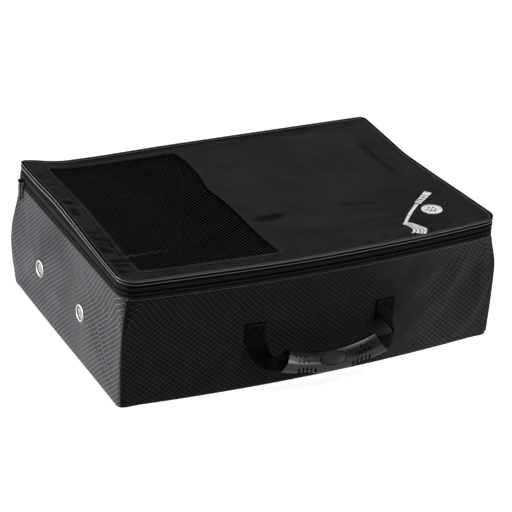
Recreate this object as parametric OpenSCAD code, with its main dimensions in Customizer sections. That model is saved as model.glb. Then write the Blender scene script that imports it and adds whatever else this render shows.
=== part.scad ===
// Golf shoe bag: a soft zip-up case with a hinged lid. A mesh window in the lid and two vents
// in one end air the shoe compartment, and a moulded grip on webbing carries the bag.
// Millimetres, +Z up. The front faces -Y, the vented end faces -X, and the origin is the
// middle of the base, on the surface that the bag stands on.

/* [Bag] */
// Length of the bag from end to end
bag_w = 500; // [460:1:540]
// Depth of the bag from front to rear, at its ends
bag_d = 340; // [320:1:360]
// How far the soft front bows out at its middle
front_bow = 12; // [6:1:16]
// Height of the closed bag
bag_h = 160; // [150:1:180]
// Radius of the two front corners
front_r = 24; // [18:1:30]
// Radius of the two rear corners
rear_r = 10; // [9:1:14]
// Height of the zip above the base, which is also the height of the lid's hinge
zip_z = 147; // [137:1:147]

/* [Walls] */
// Thickness of the outer ripstop panels
panel_t = 1.2; // [0.8:0.1:1.6]
// Thickness of the foam sheets in the walls
foam_t = 3; // [2:0.5:4]
// Thickness of the lining
lining_t = 0.8; // [0.5:0.1:1]
// Thickness of the stiff board in the base
board_t = 2.5; // [2:0.5:4]

/* [Zip] */
// Height of each zip tape that shows
tape_h = 6.2; // [5:0.1:7]
// Height of each row of the coil
coil_h = 1.2; // [0.8:0.1:1.4]
// Gap between the two rows of the coil
coil_gap = 1.2; // [1.2:0.1:1.6]
// Length of the slider
slider_l = 11; // [9:0.5:13]
// Length of the hanging puller from its pin
puller_l = 27; // [20:1:32]

/* [Lid] */
// Diameter of the piping around the lid
piping_d = 4; // [3:0.5:4]
// Width of the mesh window, along the bag
window_w = 175; // [140:1:180]
// Depth of the mesh window, front to rear
window_d = 294; // [240:1:296]
// Distance from the bag's left end to the mesh window
window_margin = 35; // [30:1:45]

/* [Inside] */
// Distance from the bag's middle to the divider's middle, towards the vented end
divider_x = 26; // [20:1:40]
// Thickness of the padded divider
divider_t = 8; // [6:1:12]

/* [Vents] */
// Outer diameter of a vent's flange
vent_d = 26; // [22:1:30]
// Distance between the two vents' centres
vent_pitch = 122; // [80:1:180]
// Height of the vents' centres above the base
vent_z = 70; // [50:1:90]

/* [Handle] */
// Distance between the middles of the two sewn ends of the webbing
anchor_pitch = 174; // [160:1:190]
// Width of the webbing where it is sewn down
webbing_w = 26; // [20:1:26]
// Height of the lower edge of the sewn ends above the base
anchor_z = 61; // [55:1:66]
// Length of the moulded grip, end to end
grip_l = 136; // [120:1:140]
// How far the grip stands in front of the bowed front
grip_out = 32; // [30:1:40]
// How far the grip's middle hangs below its ends
grip_sag = 13; // [10:1:18]
// Height of the grip's section
grip_h = 26; // [22:1:28]
// Thickness of the grip's section
grip_t = 18; // [14:1:18]

/* [Hidden] */
$fn = 48;

half_w = bag_w / 2;
half_d = bag_d / 2;
bow_margin = 3;
bow_half = half_w - front_r - bow_margin;
bow_r = (pow(bow_half, 2) + pow(front_bow, 2)) / (2 * front_bow);
bow_y = bow_r - half_d - front_bow;
bow_facets = 1440;
zone_margin = 20;

// Where the front's outer face is at x, and the same face moved inwards by inset
function front_y(x, inset = 0) = bow_y - sqrt(pow(bow_r - inset, 2) - x * x);

wall_t = panel_t + foam_t + lining_t;
tape_t = 1;
coil_t = 1.6;
binding_h = 3;

// Heights of the zip's parts, outwards from the zip's middle
lower_coil_z = zip_z - coil_gap / 2 - coil_h;
lower_tape_z = lower_coil_z - tape_h;
upper_coil_z = zip_z + coil_gap / 2;
upper_tape_z = upper_coil_z + coil_h;
fold_gap = 0.3;

// Heights in the lid: the piping's top is the bag's top, and the panel meets its middle
lid_t = 1.2;
lid_z = bag_h - piping_d / 2 - lid_t / 2;
upper_tape_top = bag_h - piping_d;

window_x = -half_w + window_margin;
window_y = -window_d / 2 + 3;
hem_w = 7;
mesh_t = 0.7;

// The coil ends short of the rear corners, with a stop between it and the rear strip, and the
// slider rests at the rear end of the left run
stop_l = 3;
coil_end_y = half_d - rear_r - stop_l - 0.5;
slider_y = coil_end_y - 0.3 - slider_l / 2;
pin_x = -half_w - 4.4;
pin_z = zip_z + 2;
pin_r = 0.8;

// The webbing folds about this line, just under its sewn ends
anchor_t = 2.2;
anchor_y = front_y(anchor_pitch / 2 - webbing_w / 2) - anchor_t;
pivot_y = anchor_y - 2;
pivot_z = anchor_z - 2;
strap_w = 20;
strap_t = 2.4;
grip_end_z = 51;
grip_y = -half_d - front_bow - grip_out;
grip_bend_r = (pow(grip_l / 2, 2) + pow(grip_sag, 2)) / (2 * grip_sag);
grip_angle = 2 * asin(grip_l / 2 / grip_bend_r);

// The bag's outline in plan, moved inwards by inset: true arcs at its corners, and a shallow
// arc for the bowed front, whose chord ends a little before the corners
module outline(inset = 0) {
  intersection() {
    translate([0, bow_y]) circle(bow_r - inset, $fn = bow_facets);
    translate([-half_w, inset - half_d - front_bow]) square([bag_w, front_bow]);
  }
  difference() {
    square([bag_w - 2 * inset, bag_d - 2 * inset], center = true);
    for (side = [-1, 1]) {
      corner_cut(side, -1, front_r - inset, inset);
      corner_cut(side, 1, max(rear_r - inset, 1), inset);
    }
  }
}

module corner_cut(side_x, side_y, r, inset) {
  translate([side_x * (half_w - inset - r), side_y * (half_d - inset - r)])
    difference() {
      translate([side_x > 0 ? 0 : -r - 1, side_y > 0 ? 0 : -r - 1]) square(r + 1);
      circle(r);
    }
}

// The part of the plan that belongs to one wall, cut at 45 degrees through the corners
module wall_zone(side) {
  reach = 80;
  x = half_w + zone_margin;
  y = half_d + zone_margin;
  if (side == "front") polygon([[-x, -y], [x, -y], [x - reach, reach - y], [reach - x, reach - y]]);
  if (side == "rear") polygon([[-x, y], [x, y], [x - reach, y - reach], [reach - x, y - reach]]);
  if (side == "left") polygon([[-x, -y], [-x, y], [reach - x, y - reach], [reach - x, reach - y]]);
  if (side == "right") polygon([[x, -y], [x, y], [x - reach, y - reach], [x - reach, reach - y]]);
}

// The zip runs round the ends and the front; the rear has a sewn fabric hinge
module zip_zone(end_y) {
  translate([-half_w - zone_margin, -half_d - zone_margin])
    square([bag_w + 2 * zone_margin, half_d + zone_margin + end_y]);
}

module rear_zone() {
  translate([-half_w - zone_margin, half_d - rear_r])
    square([bag_w + 2 * zone_margin, rear_r + zone_margin]);
}

module ring_plan(inset, thick) {
  difference() {
    outline(inset);
    outline(inset + thick);
  }
}

module ring(inset, thick, z, h) {
  translate([0, 0, z]) linear_extrude(h) ring_plan(inset, thick);
}

module wall_piece(side, inset, thick, z, h) {
  translate([0, 0, z])
    linear_extrude(h)
      intersection() {
        ring_plan(inset, thick);
        wall_zone(side);
      }
}

module zip_piece(thick, z, h, end_y) {
  translate([0, 0, z])
    linear_extrude(h)
      intersection() {
        ring_plan(0, thick);
        zip_zone(end_y);
      }
}

module rear_piece(thick, z, h) {
  translate([0, 0, z])
    linear_extrude(h)
      intersection() {
        ring_plan(0, thick);
        rear_zone();
      }
}

// A slab on the XZ plane with its face towards -Y at face_y
module front_slab(x, z, w, h, face_y, t) {
  translate([x - w / 2, face_y, z]) cube([w, t, h]);
}

module at_vents(x) {
  for (side = [-1, 1])
    translate([x, side * vent_pitch / 2, vent_z]) rotate([0, 90, 0]) children();
}

module vent_bores() {
  at_vents(-half_w - 1) cylinder(h = wall_t + 2, r = vent_d / 2 - 2);
}

wall_z = panel_t;
wall_h = lower_tape_z - wall_z;
foam_h = lower_tape_z - binding_h - wall_z;
lining_z = panel_t + board_t;

module base_panel() {
  color("#1d1d20") linear_extrude(panel_t) outline();
}

module base_board() {
  color("#5b5145") translate([0, 0, panel_t]) linear_extrude(board_t) outline(panel_t + foam_t);
}

module outer_panel(side) {
  color("#232327") wall_piece(side, 0, panel_t, wall_z, wall_h);
}

module front_panel() {
  outer_panel("front");
}

module rear_panel() {
  outer_panel("rear");
}

module left_end_panel() {
  difference() {
    outer_panel("left");
    vent_bores();
  }
}

module right_end_panel() {
  outer_panel("right");
}

// A welt stands on the seam at each corner, touching the middle of the corner's arc
module corner_welts() {
  welt_r = 1.2;
  color("#111113")
    for (side_x = [-1, 1], side_y = [-1, 1]) {
      r = side_y < 0 ? front_r : rear_r;
      reach = (r + welt_r) / sqrt(2);
      x = half_w - r + reach;
      y = half_d - r + reach;
      translate([side_x * x, side_y * y, wall_z]) cylinder(h = wall_h, r = welt_r);
    }
}

module wall_foam(side) {
  color("#6d6d70") wall_piece(side, panel_t, foam_t, wall_z, foam_h);
}

module front_foam() {
  wall_foam("front");
}

module rear_foam() {
  wall_foam("rear");
}

module left_foam() {
  difference() {
    wall_foam("left");
    vent_bores();
  }
}

module right_foam() {
  wall_foam("right");
}

// A sewn tub: four sides and a floor over the base board
module lining() {
  color("#3a3a3e")
    difference() {
      translate([0, 0, lining_z])
        linear_extrude(wall_z + foam_h - lining_z) outline(panel_t + foam_t);
      translate([0, 0, lining_z + lining_t]) linear_extrude(bag_h) outline(wall_t);
      vent_bores();
    }
}

module wall_top_binding() {
  color("#141416") ring(panel_t, foam_t + lining_t, lower_tape_z - binding_h, binding_h);
}

divider_z = lining_z + lining_t;
divider_h = 126;
strip_t = 1.2;
strip_w = 25;
cover_t = 1;

// The divider's two ends meet the hook-and-loop strips on the front and rear lining
divider_front = front_y(divider_x + strip_w / 2, wall_t) + strip_t;
divider_rear = half_d - wall_t - strip_t;

module divider_block(inset, h) {
  translate([inset - divider_x - divider_t / 2, divider_front + inset, divider_z])
    cube([divider_t - 2 * inset, divider_rear - divider_front - 2 * inset, h]);
}

// A fabric sleeve, open at the bottom, over the divider's foam
module divider_cover() {
  color("#303034")
    difference() {
      divider_block(0, divider_h);
      translate([0, 0, -cover_t]) divider_block(cover_t, divider_h);
    }
}

module divider_foam() {
  color("#77777a") divider_block(cover_t, divider_h - cover_t);
}

// Hook-and-loop strips that hold the divider to the front and rear lining
module divider_strips() {
  color("#101012")
    for (y = [divider_front - strip_t, divider_rear])
      translate([-divider_x - strip_w / 2, y, divider_z + 1]) cube([strip_w, strip_t, divider_h - 4]);
}

// Metal eyelets: a flange outside, a barrel through the wall and a perforated disc
module vent_caps() {
  barrel_r = vent_d / 2 - 2.4;
  flange_t = 1.4;
  color("#c9c9c6")
    at_vents(-half_w - flange_t)
      difference() {
        union() {
          cylinder(h = flange_t, r = vent_d / 2);
          cylinder(h = flange_t + wall_t + 1.2, r = barrel_r);
        }
        translate([0, 0, flange_t]) cylinder(h = wall_t + 2, r = barrel_r - 1);
        translate([0, 0, -1]) perforations();
      }
}

module perforations() {
  hole_r = 1.2;
  cylinder(h = 4, r = hole_r);
  for (i = [0:5]) rotate(60 * i) translate([3.6, 0]) cylinder(h = 4, r = hole_r);
  for (i = [0:11]) rotate(30 * i + 15) translate([7.2, 0]) cylinder(h = 4, r = hole_r);
}

module vent_washers() {
  color("#b8b8b5")
    at_vents(-half_w + wall_t)
      difference() {
        cylinder(h = 1, r = vent_d / 2);
        translate([0, 0, -1]) cylinder(h = 3, r = vent_d / 2 - 2.3);
      }
}

// The two ends of the webbing, folded double and box-stitched to the front panel
module handle_anchors() {
  color("#161618")
    for (side = [-1, 1])
      front_slab(side * anchor_pitch / 2, anchor_z, webbing_w, webbing_w, anchor_y, anchor_t);
}

module handle_backing() {
  backing_w = webbing_w + 10;
  backing_y = front_y(anchor_pitch / 2 + backing_w / 2, wall_t);
  color("#1b1b1d")
    for (side = [-1, 1])
      front_slab(side * anchor_pitch / 2, anchor_z - 5, backing_w, backing_w, backing_y, 1);
}

module lower_zip_tape() {
  color("#1f1f22") zip_piece(tape_t, lower_tape_z, tape_h, half_d - rear_r);
}

module lower_zip_coil() {
  color("#0e0e0f") zip_piece(coil_t, lower_coil_z, coil_h, coil_end_y);
}

module upper_zip_tape() {
  color("#1f1f22")
    zip_piece(tape_t, upper_tape_z, upper_tape_top - upper_tape_z, half_d - rear_r);
}

module upper_zip_coil() {
  color("#0e0e0f") zip_piece(coil_t, upper_coil_z, coil_h, coil_end_y);
}

// Crimped metal stops just past the two ends of a row of the coil
module zip_stops(z) {
  color("#8d8d8a")
    for (side = [-1, 1])
      translate([side * (half_w - coil_t / 2) - coil_t / 2, coil_end_y + 0.3, z])
        cube([coil_t, stop_l, coil_h]);
}

module lower_zip_stops() {
  zip_stops(lower_coil_z);
}

module upper_zip_stops() {
  zip_stops(upper_coil_z);
}

module rear_hinge_strip() {
  color("#1a1a1d") rear_piece(tape_t, lower_tape_z, zip_z - fold_gap - lower_tape_z);
}

module lid_rear_band() {
  color("#1a1a1d") rear_piece(tape_t, zip_z + fold_gap, upper_tape_top - zip_z - fold_gap);
}

module window_plan(grow = 0) {
  translate([window_x - grow, window_y - grow])
    square([window_w + 2 * grow, window_d + 2 * grow]);
}

module lid_panel() {
  color("#2c2c30")
    translate([0, 0, lid_z])
      linear_extrude(lid_t)
        difference() {
          outline(piping_d);
          window_plan();
        }
}

// The mesh is sewn under the edge of the lid's window
module mesh_window() {
  color("#0b0b0c")
    translate([0, 0, lid_z - mesh_t]) linear_extrude(mesh_t) window_plan(hem_w);
}

module window_binding() {
  color("#26262a")
    translate([0, 0, lid_z + lid_t])
      linear_extrude(0.6)
        difference() {
          window_plan(hem_w);
          window_plan();
        }
}

module lid_piping() {
  color("#34343a") ring(0, piping_d, bag_h - piping_d, piping_d);
}

// A flat tape over the lid's seam allowance, inside, clear of the mesh
module lid_seam_binding() {
  color("#141416") ring(piping_d, 4, lid_z - 1, 1);
}

// A slider's two plates either side of the coil, the post between the rows, and the arch that
// holds the puller's pin
module zip_slider() {
  plate_t = 1.2;
  plate_h = 9;
  outer_x = -half_w - 0.4 - plate_t;
  inner_x = -half_w + coil_t + 0.4;
  color("#26262a")
    translate([0, slider_y, 0]) {
      translate([outer_x, 0, zip_z]) slider_plate(plate_t, plate_h);
      translate([inner_x, 0, zip_z]) slider_plate(plate_t, plate_h);
      translate([outer_x, 1.5, zip_z - 0.3]) cube([inner_x - outer_x + plate_t, 3, 0.6]);
      for (y = [-3.6, 2.6]) slider_leg(y, outer_x + plate_t / 2);
      translate([pin_x, -3.6, pin_z]) rotate([-90, 0, 0]) cylinder(h = 7.2, r = pin_r);
    }
}

module slider_plate(t, h) {
  rotate([90, 0, 90])
    linear_extrude(t)
      intersection() {
        square([slider_l, h], center = true);
        for (side = [-1, 1]) translate([side * slider_l * 0.3, 0]) circle(slider_l * 0.82);
      }
}

module slider_leg(y, foot_x) {
  translate([0, y + 1, 0])
    rotate([90, 0, 0])
      linear_extrude(1)
        union() {
          translate([pin_x, pin_z]) circle(1.3);
          translate([pin_x, pin_z - 1.3]) square([foot_x - pin_x, 2.6]);
        }
}

// The puller hangs from the slider's pin: an eye, a neck and a rounded tab with a slot
module zip_puller() {
  eye_r = 2.2;
  tab_w = 6.5;
  tab_t = 1.6;
  color("#1c1c1f")
    translate([pin_x, slider_y, pin_z])
      difference() {
        union() {
          rotate([90, 0, 0]) cylinder(h = 4, r = eye_r, center = true);
          rotate([90, 0, -90])
            translate([0, 0, -tab_t / 2])
              linear_extrude(tab_t)
                union() {
                  translate([-2, -9]) square([4, 9]);
                  translate([-tab_w / 2, tab_w / 2 - puller_l])
                    square([tab_w, puller_l - tab_w / 2 - 8]);
                  translate([0, tab_w / 2 - puller_l]) circle(tab_w / 2);
                  translate([0, -8]) circle(tab_w / 2);
                }
        }
        rotate([90, 0, 0]) cylinder(h = 5, r = pin_r + 0.35, center = true);
        rotate([0, 90, 0]) translate([puller_l - tab_w / 2, 0, -2]) cylinder(h = 4, r = 1.6);
      }
}

// Sweeps its children along the grip's bend, an arc in the XZ plane that is lowest in its
// middle. The children's X runs down across the grip, and their Y across its thickness.
module grip_bend() {
  translate([0, grip_y, grip_end_z + grip_bend_r * cos(grip_angle / 2)])
    rotate([90, 0, 0])
      rotate(-90 - grip_angle / 2)
        rotate_extrude(angle = grip_angle, $fn = 96) translate([grip_bend_r, 0]) children();
}

module grip_section() {
  square([grip_h - grip_t, grip_t], center = true);
  for (side = [-1, 1]) translate([side * (grip_h - grip_t) / 2, 0]) circle(grip_t / 2);
}

badge_l = 33;
badge_w = 13;
badge_t = 1.2;

// The badge lies on the front of the grip's middle
module badge_shape(grow, t) {
  middle_z = grip_end_z - grip_sag;
  translate([0, grip_y - grip_t / 2 + badge_t, middle_z])
    rotate([90, 0, 0])
      linear_extrude(t)
        union() {
          square([badge_l - badge_w, badge_w + 2 * grow], center = true);
          for (side = [-1, 1])
            translate([side * (badge_l - badge_w) / 2, 0]) circle(badge_w / 2 + grow);
        }
}

// A moulded tube with a slot through which the webbing runs
module handle_grip() {
  color("#3c3c40")
    difference() {
      grip_bend() grip_section();
      grip_bend() square([strap_w + 0.8, strap_t + 0.8], center = true);
      badge_shape(0, 12);
    }
}

module grip_badge() {
  color("#4a4a4f") badge_shape(0, badge_t);
}

// One webbing: through the grip, then at each end a quarter twist and a flat tab to the fold
module handle_webbing() {
  color("#161618") {
    grip_bend() square([strap_w, strap_t], center = true);
    for (side = [-1, 1]) {
      strap_tab(side);
      difference() {
        strap_twist(side);
        grip_bend() grip_section();
      }
    }
  }
}

// The tab leaves the fold line square to it, on the straight line to the grip's end
tab_l = 8;
strap_fall = atan2(pivot_z - grip_end_z, pivot_y - grip_y);

module strap_tab(side) {
  translate([side * anchor_pitch / 2, pivot_y, pivot_z])
    rotate([strap_fall, 0, 0])
      translate([-strap_w / 2, -tab_l - 1.2, -strap_t / 2]) cube([strap_w, tab_l, strap_t]);
}

module strap_twist(side) {
  start = [
    side * anchor_pitch / 2,
    pivot_y - tab_l * cos(strap_fall),
    pivot_z - tab_l * sin(strap_fall)
  ];
  end = [side * (grip_l / 2 - 1), grip_y, grip_end_z];
  run = end - start;
  length = norm(run);
  tilt = acos(run[2] / length);
  heading = atan2(run[1], run[0]);
  translate(start)
    rotate([0, tilt, heading])
      rotate(90)
        linear_extrude(length, twist = -side * 90, slices = 8, segments = 4)
          square([strap_w, strap_t], center = true);
}

base_panel();
base_board();
front_panel();
rear_panel();
left_end_panel();
right_end_panel();
corner_welts();
front_foam();
rear_foam();
left_foam();
right_foam();
lining();
wall_top_binding();
divider_cover();
divider_foam();
divider_strips();
vent_caps();
vent_washers();
handle_anchors();
handle_backing();
lower_zip_tape();
lower_zip_coil();
lower_zip_stops();
rear_hinge_strip();
lid_panel();
mesh_window();
window_binding();
lid_piping();
lid_seam_binding();
lid_rear_band();
upper_zip_tape();
upper_zip_coil();
upper_zip_stops();
zip_slider();
zip_puller();
handle_grip();
grip_badge();
handle_webbing();
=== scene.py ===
"""Golf shoe bag: its looks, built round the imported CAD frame. Metres, +Z up, front at -Y."""

import math

import bmesh
import bpy
import numpy as np
from mathutils import Matrix, Vector


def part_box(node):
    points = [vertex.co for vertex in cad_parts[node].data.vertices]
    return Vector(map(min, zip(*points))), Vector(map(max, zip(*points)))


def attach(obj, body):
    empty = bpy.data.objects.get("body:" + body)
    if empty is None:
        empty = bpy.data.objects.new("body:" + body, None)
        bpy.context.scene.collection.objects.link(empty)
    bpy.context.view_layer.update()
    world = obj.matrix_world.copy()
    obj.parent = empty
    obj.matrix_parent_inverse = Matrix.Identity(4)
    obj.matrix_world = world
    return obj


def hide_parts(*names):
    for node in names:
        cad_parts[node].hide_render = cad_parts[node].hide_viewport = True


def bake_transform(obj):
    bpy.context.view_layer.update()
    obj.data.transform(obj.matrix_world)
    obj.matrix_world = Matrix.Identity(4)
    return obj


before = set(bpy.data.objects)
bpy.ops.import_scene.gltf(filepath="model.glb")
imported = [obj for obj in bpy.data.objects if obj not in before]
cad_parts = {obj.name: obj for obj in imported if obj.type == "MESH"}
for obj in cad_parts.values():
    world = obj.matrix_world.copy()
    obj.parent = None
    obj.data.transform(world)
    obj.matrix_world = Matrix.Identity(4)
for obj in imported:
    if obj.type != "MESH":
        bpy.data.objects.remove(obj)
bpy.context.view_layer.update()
MM = 0.001
UP = np.array([0.0, 0.0, 1.0])

# Sizes that the CAD nodes give
HALF_W = -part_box("left_end_panel")[0].x
HALF_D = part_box("rear_panel")[1].y
FRONT_BOW = -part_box("front_panel")[0].y - HALF_D
BASE_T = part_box("base_panel")[1].z
FLOOR_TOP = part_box("base_board")[1].z
WALL_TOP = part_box("lower_zip_tape")[0].z
LOW_COIL = (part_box("lower_zip_coil")[0].z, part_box("lower_zip_coil")[1].z)
HIGH_COIL = (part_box("upper_zip_coil")[0].z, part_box("upper_zip_coil")[1].z)
COIL_END_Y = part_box("lower_zip_coil")[1].y
TAPE_END_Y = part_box("lower_zip_tape")[1].y
TAPE_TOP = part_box("upper_zip_tape")[1].z
BAG_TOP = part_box("lid_piping")[1].z
LID_INSET = (BAG_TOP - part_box("lid_piping")[0].z) * 0.75
VENT_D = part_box("vent_caps")[1].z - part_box("vent_caps")[0].z
VENT_HALF_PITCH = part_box("vent_caps")[1].y - VENT_D / 2
VENT_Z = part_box("vent_caps")[0].z + VENT_D / 2
ANCHOR_LO, ANCHOR_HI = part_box("handle_anchors")
ANCHOR_W = ANCHOR_HI.z - ANCHOR_LO.z
ANCHOR_X = ANCHOR_HI.x - ANCHOR_W / 2

# Corner radii in plan, at the zip and at the foot
FRONT_R = 24 * MM
REAR_R = 10 * MM
FRONT_R_LOW = 8 * MM
REAR_R_LOW = 7 * MM

# The walls' layers, from outside in
PANEL_T = 1.0 * MM
FOAM_T = 2.4 * MM
LINING_T = 0.5 * MM
LAYER_GAP = 0.4 * MM
LINING_DEPTH = PANEL_T + LAYER_GAP + FOAM_T + LAYER_GAP
INNER_FACE = LINING_DEPTH + LINING_T
LID_T = 1.0 * MM


# ---------------------------------------------------------------- numbers and curves
def smooth(value, low, high):
    """0 below low, 1 above high, and a smooth step between them."""
    t = np.clip((value - low) / (high - low), 0, 1)
    return t * t * (3 - 2 * t)


def soft_curve(points, blur):
    """A function through (position, value) pairs in millimetres, rounded over blur."""
    at, value = np.array(points, float).T
    grid = np.arange(at.min() - 3 * blur, at.max() + 3 * blur, 1.0)
    window = np.hanning(int(2 * blur) + 3)
    table = np.convolve(np.interp(grid, at, value), window / window.sum(), mode="same")
    edge = int(blur) + 2
    grid, table = grid[edge:-edge], table[edge:-edge]
    return lambda metres: np.interp(np.asarray(metres) / MM, grid, table) * MM


def unit(vectors):
    return vectors / np.maximum(np.linalg.norm(vectors, axis=-1, keepdims=True), 1e-12)


def along(points):
    """How far along a polyline each of its points is."""
    steps = np.linalg.norm(np.diff(points, axis=0), axis=1)
    return np.concatenate([[0.0], np.cumsum(steps)])


def closed(points):
    return np.concatenate([points, points[:1]])


def at_places(places, known, rows):
    """Rows of numbers, known at some places along a line, at other places."""
    return np.stack([np.interp(places, known, column) for column in rows.T], axis=1)


def resample(points, pitch, *others):
    """The polyline at an even pitch, and the other arrays at the same places."""
    s = along(points)
    at = np.linspace(0, s[-1], max(2, int(round(s[-1] / pitch)) + 1))
    return [at_places(at, s, rows) for rows in (points, *others)]


def between(row, column, *fields):
    """Fields of a grid at fractional rows and columns."""
    j = np.clip(row.astype(int), 0, fields[0].shape[0] - 2)
    i = np.clip(column.astype(int), 0, fields[0].shape[1] - 2)
    b, a = (row - j)[..., None], (column - i)[..., None]
    return [(1 - a) * (1 - b) * f[j, i] + a * (1 - b) * f[j, i + 1]
            + (1 - a) * b * f[j + 1, i] + a * b * f[j + 1, i + 1] for f in fields]


def spline(points, count):
    """A smooth curve through points, one row each."""
    p = np.asarray(points, float)
    p = np.concatenate([2 * p[:1] - p[1:2], p, 2 * p[-1:] - p[-2:-1]])
    at = np.linspace(0, len(points) - 1, count)
    k = np.minimum(at.astype(int), len(points) - 2)
    t = (at - k)[:, None]
    a, b, c, d = p[k], p[k + 1], p[k + 2], p[k + 3]
    return 0.5 * (2 * b + (c - a) * t + (2 * a - 5 * b + 4 * c - d) * t ** 2
                  + (3 * b - a - 3 * c + d) * t ** 3)


def turns(count, shift=0.0):
    """Angles of an even count of places round a circle."""
    return 2 * math.pi * (np.arange(count) + shift) / count


def oval(width, height, count=10, power=2.0):
    """A rounded profile, counter-clockwise; a power above 2 makes it squarer."""
    c, s = np.cos(turns(count)), np.sin(turns(count))
    return np.stack([np.sign(c) * np.abs(c) ** (2 / power) * width / 2,
                     np.sign(s) * np.abs(s) ** (2 / power) * height / 2], axis=1)


# ---------------------------------------------------------------- the bag's plan
CORNER_STEPS = 6
SIDE_STEPS = {"left": 84, "front": 118, "right": 84, "rear": 118}
CORNERS = {"left": (-1, -1), "front": (1, -1), "right": (1, 1), "rear": (-1, 1)}
SIDES = tuple(SIDE_STEPS)
AXIS = {"left": 1, "front": 0, "right": 1, "rear": 0}
SIDE_SIZE = {s: SIDE_STEPS[s] + 2 * CORNER_STEPS for s in SIDES}
SIDE_START = dict(zip(SIDES, np.cumsum([0] + [SIDE_SIZE[s] for s in SIDES])))
RING_SIZE = sum(SIDE_SIZE.values())


def side_columns(side):
    """Column numbers of one side in the ring, both its ends included."""
    return (SIDE_START[side] + np.arange(SIDE_SIZE[side] + 1)) % RING_SIZE


def front_bow(x):
    """How far the front bows out at x: nothing at its corners."""
    return FRONT_BOW * np.clip(1 - (x / (HALF_W - FRONT_R)) ** 2, 0, 1)


def side_ring(side, front_r, rear_r):
    """Plan points of one side, from the middle of one corner's arc to the next one's."""
    index = SIDES.index(side)
    facing_out = math.pi + index * math.pi / 2
    arcs = []
    for name, first, last in ((SIDES[index - 1], -math.pi / 4, 0), (side, 0, math.pi / 4)):
        sx, sy = CORNERS[name]
        r = front_r if sy < 0 else rear_r
        angle = facing_out + np.linspace(first, last, CORNER_STEPS + 1)
        centre = np.array([sx * (HALF_W - r), sy * (HALF_D - r)])
        arcs.append(centre + r * np.stack([np.cos(angle), np.sin(angle)], axis=1))
    t = np.linspace(0, 1, SIDE_STEPS[side] + 1)[1:-1, None]
    plan = np.concatenate([arcs[0], arcs[0][-1] * (1 - t) + arcs[1][0] * t, arcs[1]])
    if side == "front":
        plan[:, 1] -= front_bow(plan[:, 0])
    return plan


def ring(front_r=FRONT_R, rear_r=REAR_R, out=0.0):
    """The whole plan as a closed ring, without a repeated point, and its outward normals."""
    plan = np.concatenate([side_ring(s, front_r, rear_r)[:-1] for s in SIDES])
    tangent = unit(np.roll(plan, -1, axis=0) - np.roll(plan, 1, axis=0))
    normal = np.stack([tangent[:, 1], -tangent[:, 0]], axis=1)
    return plan + normal * out, normal


def facing(normal):
    """How much each ring point belongs to each side; the four shares add up to 1."""
    x, y = normal[..., 0], normal[..., 1]
    return {"left": np.where(x < 0, x * x, 0), "right": np.where(x > 0, x * x, 0),
            "front": np.where(y < 0, y * y, 0), "rear": np.where(y > 0, y * y, 0)}


# The lid's edge isn't level: how far it lifts, and how far it is drawn in, along each side
LIFT = {
    "left": soft_curve([(-170, -0.5), (-110, 0.5), (-66, 2.5), (-20, 5), (45, 7.5), (110, 6),
                        (160, 7), (175, 7.5)], 16),
    "front": soft_curve([(-250, -0.5), (-150, 0.4), (-40, -0.6), (60, 0.3), (170, -0.4),
                         (250, 0.3)], 30),
    "right": soft_curve([(-175, 0.2), (-80, -1), (0, -2.5), (51, -3), (100, -1), (175, 1.5)], 20),
    "rear": soft_curve([(-250, 7.5), (-232, 6), (-212, 1.5), (-190, -1.5), (-140, -1.5), (-60, 0),
                        (100, 0.8), (250, 1.5)], 14),
}
DRAW_IN = {
    "left": soft_curve([(-175, 0), (-90, 0.5), (0, 2), (60, 2.5), (120, 1.5), (175, 1.5)], 16),
    "front": soft_curve([(-250, 0), (-60, 0.5), (60, -0.3), (180, 0.4), (250, 0)], 30),
    "right": soft_curve([(-175, 0), (-139, 0.5), (-80, 2.5), (-16, 4.5), (51, 6), (100, 4),
                         (150, 2), (175, 1)], 20),
    "rear": soft_curve([(-250, 1), (-150, 1.5), (0, 0.8), (250, 0.6)], 30),
}


def by_side(curves, point, normal):
    share = facing(normal)
    return sum(share[s] * curves[s](point[..., AXIS[s]]) for s in SIDES)


def rim_warp(points, normal):
    """Lifts and draws in what lies above the zip's coil, as the soft lid's edge does."""
    amount = smooth(points[..., 2], HIGH_COIL[1] - 0.5 * MM, BAG_TOP)
    moved = points.copy()
    moved[..., :2] -= normal[..., :2] * (by_side(DRAW_IN, points, normal) * amount)[..., None]
    moved[..., 2] += by_side(LIFT, points, normal) * amount
    return moved


# ---------------------------------------------------------------- meshes
# A part is (vertices, faces, places on the cloth)
def joined(parts):
    """Several parts as one."""
    verts, faces, uvs, count = [], [], [], 0
    for v, f, u in parts:
        verts.append(v)
        faces += [np.asarray(face) + count for face in f]
        uvs.append(u)
        count += len(v)
    return np.concatenate(verts), faces, np.concatenate(uvs)


def make(name, part, finish, body, slot, *nodes):
    """A piece from one part or several, on a body or none, which replaces the CAD nodes."""
    verts, faces, uvs = joined(part) if isinstance(part, list) else part
    mesh = bpy.data.meshes.new(name)
    mesh.from_pydata(np.asarray(verts, float).tolist(), [], [list(map(int, f)) for f in faces])
    mesh.validate()
    if uvs is not None:
        layer = mesh.uv_layers.new(name="cut")
        corner = np.empty(len(mesh.loops), np.int32)
        mesh.loops.foreach_get("vertex_index", corner)
        layer.data.foreach_set("uv", np.asarray(uvs, np.float32)[corner].ravel())
    mesh.shade_smooth()
    mesh.materials.append(finish)
    obj = bpy.data.objects.new(name, mesh)
    bpy.context.scene.collection.objects.link(obj)
    if body:
        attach(obj, body)
    if nodes:
        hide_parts(*nodes)
    return obj


def face_outwards(*meshes):
    for mesh in meshes:
        bm = bmesh.new()
        bm.from_mesh(mesh)
        bmesh.ops.recalc_face_normals(bm, faces=bm.faces[:])
        bm.to_mesh(mesh)
        bm.free()


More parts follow.
